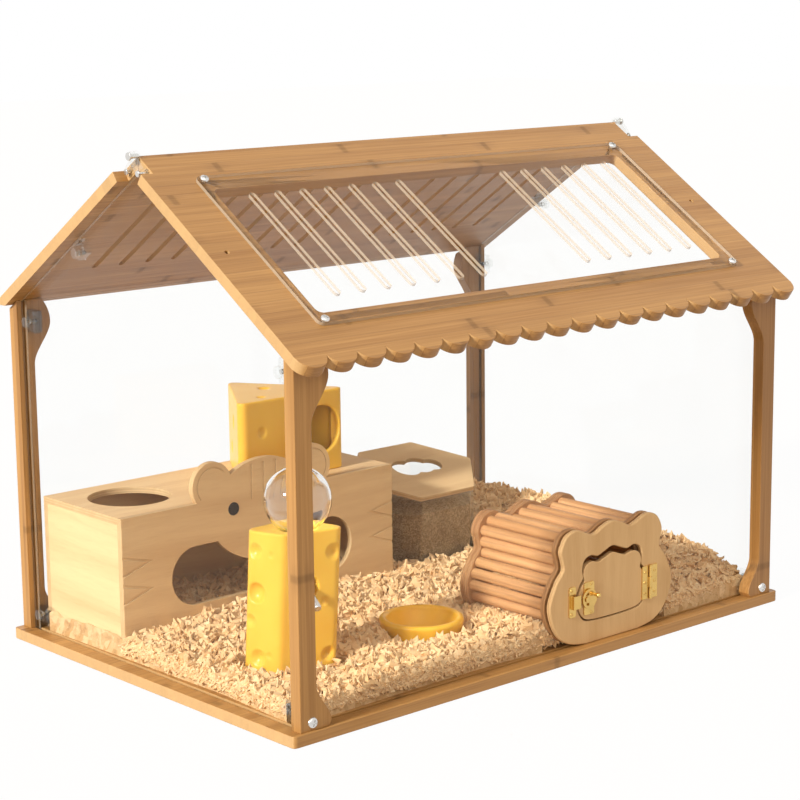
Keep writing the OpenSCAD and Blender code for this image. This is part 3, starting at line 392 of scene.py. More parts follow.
def pan_head(radius, height, recess):
    """A domed head lying on Z = 0 with a cross pressed in its top."""
    form = bmesh.new()
    rings = []
    steps = 6
    for k in range(steps + 1):
        lean = math.radians(90 * k / steps)
        rings.append((radius * math.cos(lean) ** 0.55 if k < steps else 0.0, height * math.sin(lean)))
    sides = 28
    loops = []
    around = [2 * math.pi * s / sides for s in range(sides)]
    for reach, rise in rings[:-1]:
        loops.append([form.verts.new((reach * math.cos(a), reach * math.sin(a), rise)) for a in around])
    crown = form.verts.new((0, 0, height))
    for low, high in zip(loops, loops[1:]):
        for s in range(sides):
            form.faces.new((low[s], low[(s + 1) % sides], high[(s + 1) % sides], high[s]))
    for s in range(sides):
        form.faces.new((loops[-1][s], loops[-1][(s + 1) % sides], crown))
    form.faces.new(list(reversed(loops[0])))
    mesh = bpy.data.meshes.new("pan_head")
    form.to_mesh(mesh)
    form.free()
    cutter = bmesh.new()
    for quarter in (0, 90):
        arm = bmesh.ops.create_cube(cutter, size=1.0)["verts"]
        bmesh.ops.scale(cutter, verts=arm, vec=(radius * 1.15, radius * 0.26, recess))
        bmesh.ops.rotate(cutter, verts=arm, matrix=Matrix.Rotation(math.radians(quarter), 3, "Z"))
        bmesh.ops.translate(cutter, verts=arm, vec=(0, 0, height))
    cross = bpy.data.meshes.new("cross")
    cutter.to_mesh(cross)
    cutter.free()
    tool = bpy.data.objects.new("cross", cross)
    scene.collection.objects.link(tool)
    cut = {"operation": "DIFFERENCE", "object": tool, "solver": "EXACT", "use_self": True}
    head = settled("pan_head", mesh, ("BOOLEAN", cut))
    bpy.data.objects.remove(tool)
    shaded(head.data, 30)
    scene.collection.objects.unlink(head)
    return head


def new_tree(name, **inputs):
    """An empty geometry-node tree with these inputs. Underscores stand for blanks."""
    tree = bpy.data.node_groups.new(name, "GeometryNodeTree")
    face = tree.interface
    face.new_socket("Geometry", in_out="INPUT", socket_type="NodeSocketGeometry")
    for label, kind in inputs.items():
        face.new_socket(label.replace("_", " "), in_out="INPUT", socket_type="NodeSocket" + kind)
    face.new_socket("Geometry", in_out="OUTPUT", socket_type="NodeSocketGeometry")
    return tree


def driven_tree():
    """Geometry nodes that set one screw on every point, along the point's own aim."""
    tree = new_tree("driven_screws", Screw="Object", Turn_Seed="Int", Metal="Material")
    entry = tree.nodes.new("NodeGroupInput")
    head = tree.nodes.new("GeometryNodeObjectInfo")
    aim = tree.nodes.new("GeometryNodeInputNamedAttribute")
    aim.data_type = "FLOAT_VECTOR"
    aim.inputs["Name"].default_value = "aim"
    spin = tree.nodes.new("FunctionNodeRandomValue")
    spin.inputs["Max"].default_value = math.pi
    flat = tree.nodes.new("ShaderNodeCombineXYZ")
    start = tree.nodes.new("FunctionNodeEulerToRotation")
    point_up = tree.nodes.new("FunctionNodeAlignRotationToVector")
    point_up.axis = "Z"
    both = tree.nodes.new("FunctionNodeRotateRotation")
    both.rotation_space = "LOCAL"
    drive = tree.nodes.new("GeometryNodeInstanceOnPoints")
    solid = tree.nodes.new("GeometryNodeRealizeInstances")
    plate = tree.nodes.new("GeometryNodeSetMaterial")
    leave = tree.nodes.new("NodeGroupOutput")
    link = tree.links.new
    link(entry.outputs["Screw"], head.inputs["Object"])
    link(entry.outputs["Turn Seed"], spin.inputs["Seed"])
    link(spin.outputs["Value"], flat.inputs["Z"])
    link(flat.outputs[0], start.inputs[0])
    link(aim.outputs["Attribute"], point_up.inputs["Vector"])
    link(point_up.outputs[0], both.inputs["Rotation"])
    link(start.outputs[0], both.inputs["Rotate By"])
    link(entry.outputs["Geometry"], drive.inputs["Points"])
    link(head.outputs["Geometry"], drive.inputs["Instance"])
    link(both.outputs[0], drive.inputs["Rotation"])
    link(drive.outputs[0], solid.inputs[0])
    link(solid.outputs[0], plate.inputs["Geometry"])
    link(entry.outputs["Metal"], plate.inputs["Material"])
    link(plate.outputs[0], leave.inputs[0])
    return tree


def grown(name, tree, mesh, settings):
    """The mesh a geometry-node tree makes from a start mesh, as a plain object."""
    seedling = bpy.data.objects.new(name, mesh)
    scene.collection.objects.link(seedling)
    nodes = seedling.modifiers.new("nodes", "NODES")
    nodes.node_group = tree
    for socket in tree.interface.items_tree:
        if socket.in_out == "INPUT" and socket.name in settings:
            nodes[socket.identifier] = settings[socket.name]
    bpy.context.view_layer.update()
    made = bpy.data.meshes.new_from_object(seedling.evaluated_get(bpy.context.evaluated_depsgraph_get()))
    seedling.modifiers.clear()
    seedling.data = made
    return seedling


def islands(node):
    """Each loose part of a CAD node as the list of its corners, in the mesh's own order."""
    form = bmesh.new()
    form.from_mesh(cad[node].data)
    bmesh.ops.remove_doubles(form, verts=form.verts, dist=1e-6)
    todo = set(form.verts)
    found = []
    for first in form.verts:
        if first not in todo:
            continue
        todo.remove(first)
        edge = [first]
        group = []
        while edge:
            here = edge.pop()
            group.append(here.co.copy())
            for side in here.link_edges:
                there = side.other_vert(here)
                if there in todo:
                    todo.remove(there)
                    edge.append(there)
        found.append(group)
    form.free()
    return found


screw_tree = driven_tree()


def driven(node, aim, head, height, metal, seed):
    """Detailed heads on every screw of a CAD node; each head's top stays at the screw's own top."""
    aims = []
    spots = []
    for group in islands(node):
        way = Vector(aim(group)).normalized()
        middle = sum(group, Vector()) / len(group)
        top = max(way.dot(corner) for corner in group)
        spots.append(middle + way * (top - height - way.dot(middle)))
        aims.append(way)
    mesh = bpy.data.meshes.new(node)
    mesh.from_pydata(spots, [], [])
    column = mesh.attributes.new("aim", "FLOAT_VECTOR", "POINT")
    for k, way in enumerate(aims):
        column.data[k].vector = way
    settings = {"Screw": head, "Turn Seed": seed, "Metal": metal}
    piece = grown(node + "_driven", screw_tree, mesh, settings)
    shaded(piece.data, 30)
    stands_for(piece, metal, node)
    return piece


nickel = plated("nickel_plate", (0.72, 0.70, 0.67), 0.16, 900.0)
dressed("base_screws", nickel)
post_head_h = 0.0024
post_head = pan_head(0.0048, post_head_h, 0.0022)
driven("post_screws", lambda group: (0, -1 if group[0].y < 0 else 1, 0), post_head, post_head_h, nickel, 3)


# Clear walls: cast acrylic sheet, laser cut, standing in the grooves of the base and the
# posts. Its faces only show by their gloss; its cut edges carry a painted highlight.
def clear_sheet(name, turn, edge_highlight_share, haze):
    """Clear sheet lying in X and Y once turned. Cut edges are paler than the faces, a painted highlight."""
    sheet = Finish(name)
    spot = sheet.place(turn)
    up = sheet.split(sheet.facing(turn))[2]
    edge = abs(up).ramp(0.75, 0.45)
    smear = sheet.noise(spot, 30.0, 3.0).ramp(0.45, 0.8)
    empty = sheet.node("ShaderNodeBsdfTransparent", {}, {"Color": (0.996, 0.998, 0.997, 1)})
    gloss = sheet.node("ShaderNodeBsdfGlossy", {}, {"Color": (1, 1, 1, 1), "Roughness": 0.03})
    face = sheet.node("ShaderNodeMixShader", {}, {0: sheet.glance(0.03) * 0.3, 1: empty, 2: gloss})
    # Pale coat: a painted highlight on the cut edges, and a faint real haze where the sheet is smeared.
    haze_and_edge_highlight = sheet.coat(Base_Color=(0.64, 0.56, 0.47, 1), Roughness=0.2, IOR=1.49)
    share = edge * edge_highlight_share + smear * haze
    return sheet.done(sheet.node("ShaderNodeMixShader", {}, {0: share, 1: face, 2: haze_and_edge_highlight}))


front_sheet = clear_sheet("clear_front_back", (90, 0, 0), 0.30, 0.004)
side_sheet = clear_sheet("clear_sides", (0, 90, 0), 0.30, 0.004)
dressed("front_panel", front_sheet)
dressed("back_panel", front_sheet)
dressed("side_panel_left", side_sheet)
dressed("side_panel_right", side_sheet)

# Corner blocks and bolts: clear moulded blocks inside the corners, each drawn to the wall
# by a clear bolt with a plain round head.
moulded = Finish("clear_moulding")
moulded_rim = moulded.node("ShaderNodeLayerWeight", {}, {"Blend": 0.45}, "Facing")
moulded_air = moulded.node("ShaderNodeBsdfTransparent", {}, {"Color": (0.985, 0.99, 0.985, 1)})
moulded_gloss = moulded.node("ShaderNodeBsdfGlossy", {}, {"Color": (1, 1, 1, 1), "Roughness": 0.06})
moulded_flow = moulded.noise(moulded.place(), 160.0, 2.0)
moulded_share = moulded_rim * 0.16 + moulded_flow * 0.05 + 0.01
moulded.done(moulded.node("ShaderNodeMixShader", {}, {0: moulded_share, 1: moulded_air, 2: moulded_gloss}))
eased("corner_blocks", moulded.material, 0.0005)
eased("panel_bolts", moulded.material, 0.0006)

# Back roof: a bamboo board with grain along the ridge and two rows of long vent slots,
# screwed down onto blocks on the gable walls.
roof_slope = 33.4
back_bamboo = bamboo("bamboo_back_roof", (roof_slope, 0, 0), 0.0125, bamboo_light, bamboo_dark)
eased("back_roof_board", back_bamboo, 0.0003)
roof_head_h = 0.0024
roof_head = pan_head(0.0036, roof_head_h, 0.0020)
slope = math.radians(roof_slope)
back_normal = (0, math.sin(slope), math.cos(slope))
front_normal = (0, -math.sin(slope), math.cos(slope))
driven("back_roof_screws", lambda group: back_normal, roof_head, roof_head_h, nickel, 5)

# Front roof: the same bamboo, with a wide window opening, a scalloped eave and a peg hole
# near each end. It lifts about the ridge.
front_bamboo = bamboo("bamboo_front_roof", (-roof_slope, 0, 0), 0.0125, bamboo_light, bamboo_dark)
eased("front_roof_board", front_bamboo, 0.0005, 3)

# Roof window: clear sheet with two groups of vent slots, laid over the opening and held
# by a screw at each corner.
window_sheet = clear_sheet("clear_window", (-roof_slope, 0, 0), 0.55, 0.03)
eased("roof_window", window_sheet, 0.0003)
window_head = pan_head(0.004, roof_head_h, 0.0021)
driven("window_screws", lambda group: front_normal, window_head, roof_head_h, nickel, 8)

# Ridge hinges: a pair of clear leaves at each end of the ridge on a steel pin, each leaf
# screwed to the end of its board.
eased("back_hinge_leaves", moulded.material, 0.0005)
eased("front_hinge_leaves", moulded.material, 0.0005)
for pin in ("ridge_pins", "back_hinge_screws", "front_hinge_screws"):
    eased(pin, nickel, 0.0003)


# Door plates: cloud-shaped plywood clamped to both faces of the front wall, face grain
# upright, edges sanded round and a little darker where the plies show.
def plywood(name, turn, plies, light, dark, figure):
    """Plywood lying in X and Y once turned, with its face grain along X and plies through Z."""
    wood = Finish(name)
    spot = wood.place(turn)
    x, y, z = wood.split(spot)
    up = wood.split(wood.facing(turn))[2]
    edge = abs(up).ramp(0.80, 0.55)
    bend = wood.noise(wood.join(x * 3, y * 7, z * 7), 1.0, 2.0)
    grain = wood.noise(wood.join(x * 5 + bend, y * 60 + bend * figure, z * 60), 1.0, 4.0, 0.6)
    pore = wood.noise(wood.join(x * 60, y * 900, z * 900), 1.0, 2.0)
    flame = abs((y * 22 + bend * figure * 0.6).fract() - 0.5).ramp(0.18, 0.5)
    layer = (z / plies).fract()
    glue = abs(layer - 0.5).ramp(0.36, 0.49)
    cross = (z / (2 * plies)).fract().ramp(0.49, 0.51)
    depth = grain.ramp(0.35, 0.70) * 0.45 + flame * 0.22 + pore.ramp(0.45, 0.75) * 0.22
    tone = wood.mix(depth, light, dark)
    tone = wood.mix(edge * (0.22 + cross * 0.30), tone, tuple(c * 0.72 for c in dark))
    tone = wood.mix(edge * glue * 0.55, tone, tuple(c * 0.38 for c in dark))
    height = grain * 0.4 + pore * 0.5 - edge * glue * 0.5
    return wood.done(wood.coat(
        Base_Color=tone, Roughness=0.52 + grain * 0.14, Specular_IOR_Level=0.25,
        Normal=wood.bump(height, 0.00025, 0.45)))


ply_light = (0.86, 0.66, 0.40)
ply_dark = (0.70, 0.48, 0.26)
door_ply = plywood("door_plywood", (90, 0, 90), 0.0013, (0.77, 0.55, 0.31), (0.62, 0.40, 0.20), 2.0)
ring_ply = plywood("tunnel_plywood", (90, 0, 90), 0.0013, (0.56, 0.33, 0.17), (0.40, 0.205, 0.095), 2.0)
eased("door_outer_plate", door_ply, 0.0013, 3)
eased("door_inner_plate", ring_ply, 0.0013, 3)

# Tunnel: round beech sticks side by side between the inner plate and a pair of rings of
# the same cloud shape.
stick = Finish("beech_sticks")
stick_x, stick_y, stick_z = stick.split(stick.place())
stick_lot = stick.noise(stick.join(stick_x * 95, stick_y * 0.8, stick_z * 95), 1.0, 1.0)
stick_grain = stick.noise(stick.join(stick_x * 420, stick_y * 9, stick_z * 420), 1.0, 4.0)
stick_fleck = stick.noise(stick.join(stick_x * 1300, stick_y * 90, stick_z * 1300), 1.0, 2.0)
stick_tone = stick.mix(stick_lot.ramp(0.3, 0.7), (0.68, 0.41, 0.21), (0.52, 0.28, 0.125))
stick_tone = stick.mix(stick_grain.ramp(0.42, 0.72) * 0.6, stick_tone, (0.36, 0.18, 0.09))
stick_tone = stick.mix(stick_fleck.ramp(0.6, 0.8) * 0.45, stick_tone, (0.28, 0.13, 0.06))
stick.done(stick.coat(
    Base_Color=stick_tone, Roughness=0.48 + stick_grain * 0.15, IOR=1.45,
    Normal=stick.bump(stick_grain + stick_fleck * 0.5, 0.0003, 0.4)))
eased("tunnel_slats", stick.material, 0.0003)
eased("tunnel_inner_ring", ring_ply, 0.0013, 3)
eased("tunnel_end_ring", ring_ply, 0.0013, 3)

# Door hinge: a small pressed-brass butt hinge, three screws in each leaf. The frame's leaf
# is left crisp; the pin and the door's leaf are rubbed a little round.
brass = plated("polished_brass", (0.72, 0.47, 0.15), 0.20, 700.0)
brass_edge = 0.0002
dressed("frame_hinge_leaf", brass)
for part in ("hinge_pin", "door_hinge_leaf"):
    eased(part, brass, brass_edge)
brass_head_h = 0.0006
brass_head = pan_head(0.0016, brass_head_h, 0.0007)
for row, seed in (("frame_hinge_screws", 11), ("door_hinge_screws", 12)):
    driven(row, lambda group: (0, -1, 0), brass_head, brass_head_h, brass, seed)

# Door and catch: a plywood door in the cloud's opening; a brass cam with a small knob turns
# on a riveted plate and slips behind the lip of the keeper on the frame.
eased("door_board", door_ply, 0.0005)
for part in ("latch_keeper", "latch_plate", "latch_rivet", "latch_cam"):
    eased(part, brass, brass_edge)
for row, seed in (("keeper_screws", 13), ("latch_plate_screws", 14)):
    driven(row, lambda group: (0, -1, 0), brass_head, brass_head_h, brass, seed)

# Hide: a floorless box of birch plywood. The front is cut and engraved as an animal's face
# with two black inlaid eyes; the boards are glued edge to face, with the corners left crisp.
hide_fronts = plywood("hide_plywood_front", (90, 0, 0), 0.0012, ply_light, ply_dark, 3.0)
hide_ends = plywood("hide_plywood_ends", (0, -90, -90), 0.0012, ply_light, ply_dark, 3.0)
hide_tops = plywood("hide_plywood_top", (0, 0, 0), 0.0012, ply_light, ply_dark, 3.0)
crisp = 0.00035
eased("hide_front", hide_fronts, crisp)
eased("hide_back", hide_fronts, crisp)
eased("hide_left", hide_ends, crisp)
eased("hide_right", hide_ends, crisp)
eased("hide_top", hide_tops, crisp)
ink = Finish("black_inlay")
ink_wear = ink.noise(ink.place(), 700.0, 3.0)
ink.done(ink.coat(
    Base_Color=ink.mix(ink_wear, (0.012, 0.010, 0.009), (0.035, 0.028, 0.022)),
    Roughness=0.24 + ink_wear * 0.2,
    Normal=ink.bump(ink_wear, 0.0001, 0.3)))
eased("hide_eyes", ink.material, 0.0003)


# Cheese house and water tower: slip-cast ceramic wedges under a yellow glaze, every edge
# and dimple soft from the mould, the glaze darker in the hollows: partly pooled glaze, partly painted shade.
def glazed(name, light, deep, rough):
    """Coloured glaze over a slightly uneven cast body."""
    glaze = Finish(name)
    spot = glaze.place()
    pool = glaze.noise(spot, 26.0, 3.0)
    fine = glaze.noise(spot, 420.0, 2.0)
    # Darker in the hollows: partly pooled glaze, partly painted shade.
    hollow = glaze.node("ShaderNodeNewGeometry", {}, {}, "Pointiness").ramp(0.50, 0.46)
    tone = glaze.mix(pool.ramp(0.3, 0.75) * 0.5, light, deep)
    tone = glaze.mix(hollow * 0.35, tone, tuple(c * 0.8 for c in deep))
    return glaze.done(glaze.coat(
        Base_Color=tone, Roughness=rough + fine * 0.12, Specular_IOR_Level=0.3,
        Coat_Weight=0.1, Coat_Roughness=0.15,
        Subsurface_Weight=0.08, Subsurface_Radius=(0.004, 0.002, 0.0008), Subsurface_Scale=1.0,
        Normal=glaze.bump(pool * 0.6 + fine * 0.15, 0.0006, 0.35)))


hollow_deep = 0.42


def rays(mesh):
    """A mesh made ready for lines of sight."""
    return BVHTree.FromPolygons([v.co for v in mesh.vertices], [f.vertices for f in mesh.polygons])


def press(piece, sight, across, height, wide):
    """A round hollow with a soft edge, where a level line of sight first meets the piece."""
    skin = rays(piece.data)
    middle = sum((v.co for v in piece.data.vertices), Vector()) / len(piece.data.vertices)
    ahead = Vector((sight[0], sight[1], 0)).normalized()
    eye = middle + Vector((ahead.y, -ahead.x, 0)) * across - ahead
    eye.z = height
    spot, out = skin.ray_cast(eye, ahead)[:2]
    for corner in piece.data.vertices:
        apart = corner.co - spot
        above = apart.dot(out)
        share = (apart - out * above).length / wide
        if share < 1 and abs(above) < wide:
            corner.co -= out * hollow_deep * wide * (1 - share * share) ** 1.5


def cast(node, finish, grid, rounds, name, hollows=()):
    """The CAD piece as it leaves a plaster mould: remade on an even grid, rubbed round and pressed."""
    remade = {"mode": "VOXEL", "voxel_size": grid, "adaptivity": 0.0}
    rubbed = {"factor": 0.5, "iterations": rounds}
    piece = settled(name, merged(node), ("REMESH", remade), ("SMOOTH", rubbed))
    for hollow in hollows:
        press(piece, *hollow)
    smooth(piece.data)
    return stands_for(piece, finish, node)


cheese = glazed("yellow_glaze", (0.93, 0.60, 0.085), (0.86, 0.46, 0.04), 0.30)
cast("cheese_house", cheese, 0.0011, 6, "cheese_house_cast")
end_on = (0.952, 0.305)
front_on = (0.266, 0.964)
tower_hollows = (
    (end_on, -0.019, 0.125, 0.0075),
    (end_on, -0.025, 0.064, 0.0065),
    (end_on, -0.017, 0.033, 0.0080),
    (front_on, 0.029, 0.122, 0.0080),
    (front_on, 0.020, 0.080, 0.0045),
    (front_on, 0.023, 0.033, 0.0070))
cast("cheese_tower", cheese, 0.0009, 7, "cheese_tower_cast", tower_hollows)


# Water ball: a blown glass globe whose neck stands in a rubber seal in the tower's bore,
# with a bent steel drinking spout below it.
def turned(profile, centre, sides):
    """A closed mesh of revolution. The profile runs from the axis round to the axis again."""
    form = bmesh.new()
    loops = []
    for reach, rise in profile:
        if reach < 1e-6:
            loops.append([form.verts.new((centre[0], centre[1], rise))])
            continue
        angles = [2 * math.pi * s / sides for s in range(sides)]
        loops.append([form.verts.new((centre[0] + reach * math.cos(a), centre[1] + reach * math.sin(a), rise))
                      for a in angles])
    for low, high in zip(loops, loops[1:]):
        for s in range(sides):
            after = (s + 1) % sides
            corners = [low[s % len(low)], low[after % len(low)], high[after % len(high)], high[s % len(high)]]
            kept = list(dict.fromkeys(corners))
            if len(kept) > 2:
                form.faces.new(kept)
    bmesh.ops.remove_doubles(form, verts=form.verts, dist=1e-7)
    bmesh.ops.recalc_face_normals(form, faces=form.faces)
    mesh = bpy.data.meshes.new("turned")
    form.to_mesh(mesh)
    form.free()
    smooth(mesh)
    return mesh


ball_low, ball_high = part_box("water_ball")
ball_r = (ball_high.x - ball_low.x) / 2
ball_at = ((ball_low.x + ball_high.x) / 2, (ball_low.y + ball_high.y) / 2, ball_high.z - ball_r)
neck_r = 0.009
glass_t = 0.0016
neck_dip = math.asin(neck_r / ball_r)
inner_r = ball_r - glass_t
inner_dip = math.asin((neck_r - glass_t) / inner_r)


def globe_arc(radius, dip, steps=28):
    """The globe's outline from its neck up to its crown."""
    leans = [dip + (math.pi - dip) * k / steps for k in range(steps + 1)]
    return [(radius * math.sin(a), ball_at[2] - radius * math.cos(a)) for a in leans]


outer_arc = globe_arc(ball_r, neck_dip)
inner_arc = globe_arc(inner_r, inner_dip)[::-1]
neck_foot = ball_low.z
rim = glass_t / 2
lip = [(neck_r - rim, neck_foot), (neck_r - rim * 0.3, neck_foot + rim * 0.3), (neck_r, neck_foot + rim)]
ball_profile = lip + outer_arc + inner_arc + [(neck_r - glass_t, neck_foot + rim), (neck_r - rim, neck_foot)]
globe = bpy.data.objects.new("water_ball_blown", turned(ball_profile, ball_at, 64))
scene.collection.objects.link(globe)
blown = Finish("blown_glass")
blown_seed = blown.noise(blown.place(), 90.0, 2.0)
blown_body = blown.coat(
    Base_Color=(1, 1, 1, 1), Roughness=0.0, IOR=1.45, Transmission_Weight=1.0,
    Normal=blown.bump(blown_seed, 0.0004, 0.15))
blown_shade = blown.node("ShaderNodeLightPath", {}, {}, "Is Shadow Ray")
blown_air = blown.node("ShaderNodeBsdfTransparent", {}, {"Color": (0.95, 0.96, 0.95, 1)})
blown.done(blown.node("ShaderNodeMixShader", {}, {0: blown_shade, 1: blown_body, 2: blown_air}))
stands_for(globe, blown.material, "water_ball")
seal = Finish("grey_rubber")
seal_dust = seal.noise(seal.place(), 500.0, 4.0)
seal.done(seal.coat(
    Base_Color=seal.mix(seal_dust, (0.20, 0.20, 0.19), (0.33, 0.32, 0.30)), Roughness=0.65 + seal_dust * 0.2,
    Normal=seal.bump(seal_dust, 0.0002, 0.4)))
eased("ball_seal", seal.material, 0.0004)
eased("drinking_spout", nickel, 0.0009, 3)

# Food bowl: a thick thrown bowl with a rolled rim, mustard glaze inside and out. It stands
# loose in the bedding.
bowl_low, bowl_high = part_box("food_bowl")
bowl_r = (bowl_high.x - bowl_low.x) / 2
bowl_at = ((bowl_low.x + bowl_high.x) / 2, (bowl_low.y + bowl_high.y) / 2)
bowl_foot = 0.88
bowl_wall = 0.0068
floor_z = bowl_low.z
rim_mid = (bowl_r - bowl_wall / 2, bowl_high.z - bowl_wall / 2)
foot_r = bowl_r * bowl_foot
bowl_profile = [(0, floor_z), (foot_r - 0.003, floor_z)]
bowl_profile += [(foot_r - 0.0012, floor_z + 0.0005), (foot_r, floor_z + 0.002)]
bowl_profile += [(rim_mid[0] + bowl_wall / 2 * math.cos(math.radians(a)),
                  rim_mid[1] + bowl_wall / 2 * math.sin(math.radians(a))) for a in range(-10, 191, 20)]
well_r = foot_r - bowl_wall
well_z = floor_z + bowl_wall
bowl_profile += [(well_r + 0.001, well_z + 0.009), (well_r - 0.0005, well_z + 0.005)]
bowl_profile += [(well_r - 0.0035, well_z + 0.0015), (well_r - 0.008, well_z), (0, well_z)]
thrown = settled("food_bowl_thrown", turned(bowl_profile, bowl_at, 72),
                 ("SUBSURF", {"levels": 1, "render_levels": 1}))
mustard = glazed("mustard_glaze", (0.95, 0.60, 0.065), (0.87, 0.47, 0.035), 0.26)
smooth(thrown.data)
stands_for(thrown, mustard, "food_bowl")

# Sand bath: a clear six-sided jar with a sloping rim, a plywood lid lying on the slope and
# brown bathing sand heaped in it.
jar_sheet = Finish("clear_jar")
jar_edge = jar_sheet.node("ShaderNodeLayerWeight", {}, {"Blend": 0.3}, "Facing")
jar_dust = jar_sheet.noise(jar_sheet.place(), 40.0, 3.0).ramp(0.4, 0.8)
jar_air = jar_sheet.node("ShaderNodeBsdfTransparent", {}, {"Color": (0.97, 0.975, 0.97, 1)})
jar_gloss = jar_sheet.node("ShaderNodeBsdfGlossy", {}, {"Color": (1, 1, 1, 1), "Roughness": 0.04})
jar_share = jar_sheet.glance(0.04) + jar_edge * 0.06 + jar_dust * 0.03
jar_sheet.done(jar_sheet.node("ShaderNodeMixShader", {}, {0: jar_share, 1: jar_air, 2: jar_gloss}))
eased("sand_jar", jar_sheet.material, 0.0008, 3)

grit = Finish("bathing_sand")
grit_spot = grit.place()
grit_grain = grit.node("ShaderNodeTexVoronoi", {}, {"Vector": grit_spot, "Scale": 900.0}, "Color")
grit_lot = grit.node("ShaderNodeSeparateColor", {}, {0: grit_grain})
grit_drift = grit.noise(grit_spot, 55.0, 4.0)
grit_tone = grit.mix(grit_lot, (0.20, 0.125, 0.06), (0.62, 0.45, 0.28))
grit_tone = grit.mix(grit_drift.ramp(0.4, 0.7) * 0.35, grit_tone, (0.17, 0.10, 0.045))
grit.done(grit.coat(
    Base_Color=grit_tone, Roughness=0.9, Normal=grit.bump(grit_lot + grit_drift * 2.0, 0.0009, 0.8)))
sand_low, sand_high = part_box("bath_sand")
sand_mid = (sand_low + sand_high) / 2
sand_edge = {}
for corner in cad["bath_sand"].data.vertices:
    if corner.co.z > sand_mid.z:
        turn_at = math.atan2(corner.co.y - sand_mid.y, corner.co.x - sand_mid.x)
        sand_edge[round(turn_at, 4)] = (corner.co.x, corner.co.y)
sand_corners = [Vector(sand_edge[a]) for a in sorted(sand_edge)]
edge_steps = 14
sand_loop = [corner.lerp(after, t / edge_steps) for corner, after in
             zip(sand_corners, sand_corners[1:] + sand_corners[:1]) for t in range(edge_steps)]
sand_form = bmesh.new()
sand_rings = []
sand_steps = 22
edge_fall = 0.006
for k in range(sand_steps, 0, -1):
    share = k / sand_steps
    ring = []
    for px, py in sand_loop:
        sx = sand_mid.x + (px - sand_mid.x) * share
        sy = sand_mid.y + (py - sand_mid.y) * share
        drift = noise.noise(Vector((sx * 45, sy * 45, 3.0))) * 0.0022
        drift += noise.noise(Vector((sx * 160, sy * 160, 7))) * 0.0008
        fall = 0.001 + edge_fall * share ** 2.2
        ring.append(sand_form.verts.new((sx, sy, sand_high.z - fall + drift * (1.05 - share))))
    sand_rings.append(ring)
sand_base = [sand_form.verts.new((px, py, sand_low.z)) for px, py in sand_loop]
sand_peak = sand_form.verts.new((sand_mid.x, sand_mid.y, sand_high.z))
sand_rings.insert(0, sand_base)
sides = len(sand_loop)
for low, high in zip(sand_rings, sand_rings[1:]):
    for s in range(sides):
        sand_form.faces.new((low[s], low[(s + 1) % sides], high[(s + 1) % sides], high[s]))
for s in range(sides):
    sand_form.faces.new((sand_rings[-1][s], sand_rings[-1][(s + 1) % sides], sand_peak))
sand_form.faces.new(list(reversed(sand_base)))
bmesh.ops.recalc_face_normals(sand_form, faces=sand_form.faces)
sand_mesh = bpy.data.meshes.new("bath_sand_heap")
sand_form.to_mesh(sand_mesh)
sand_form.free()
shaded(sand_mesh, 50)
sand_heap = bpy.data.objects.new("bath_sand_heap", sand_mesh)
scene.collection.objects.link(sand_heap)
stands_for(sand_heap, grit.material, "bath_sand")
lid_ply = plywood("lid_plywood", (-18, 0, 0), 0.0013, ply_light, ply_dark, 3.0)
eased("sand_lid", lid_ply, 0.0008, 3)


# Bedding: kiln-dried aspen chips, crumbly curled flakes a few millimetres across, spread
# over the floor and banked up at the right; loose chips lie over a packed heap.
bed_low, bed_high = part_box("bedding")
bed_rays = rays(cad["bedding"].data)
hide_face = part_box("hide_front")[0].y
hide_low, hide_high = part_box("hide_top")
bank_more = 0.018
bank_from = 0.150
bank_run = 0.130
bank_front = 0.062
bank_back = 0.090
bank_fade = 0.120
mound_more = 0.011
mound_l = 0.150
mound_w = 0.120


def swell(t):
    """An even S from 0 to 1."""
    t = min(1, max(0, t))
    return t * t * (3 - 2 * t)


def heaped(x, y):
    """How far the loose chips lie above their solid: banked at the right, drawn up before the hide."""
    back = y - bed_low.y
    bank = swell((x - bed_high.x + bank_from) / bank_run) * swell(back / bank_front)
    bank *= 1 - swell((back - bank_back) / bank_fade)
    apart = Vector(((x - (hide_low.x + hide_high.x) / 2) / mound_l, (y - hide_face) / mound_w))
    mound = swell(1 - apart.length) if y < hide_face else 0
    return bank_more * bank + mound_more * mound


def bed_top(x, y):
    """The height of the heaped bedding over a point, or None where its solid leaves room."""
    hit = bed_rays.ray_cast(Vector((x, y, 1)), Vector((0, 0, -1)))[0]
    return hit.z + heaped(x, y) if hit else None


def bed_reaches(x, y, room):
    """True where the bedding goes on for that distance to all four sides."""
    around = ((x - room, y), (x + room, y), (x, y - room), (x, y + room))
    return all(bed_top(*spot) is not None for spot in around)


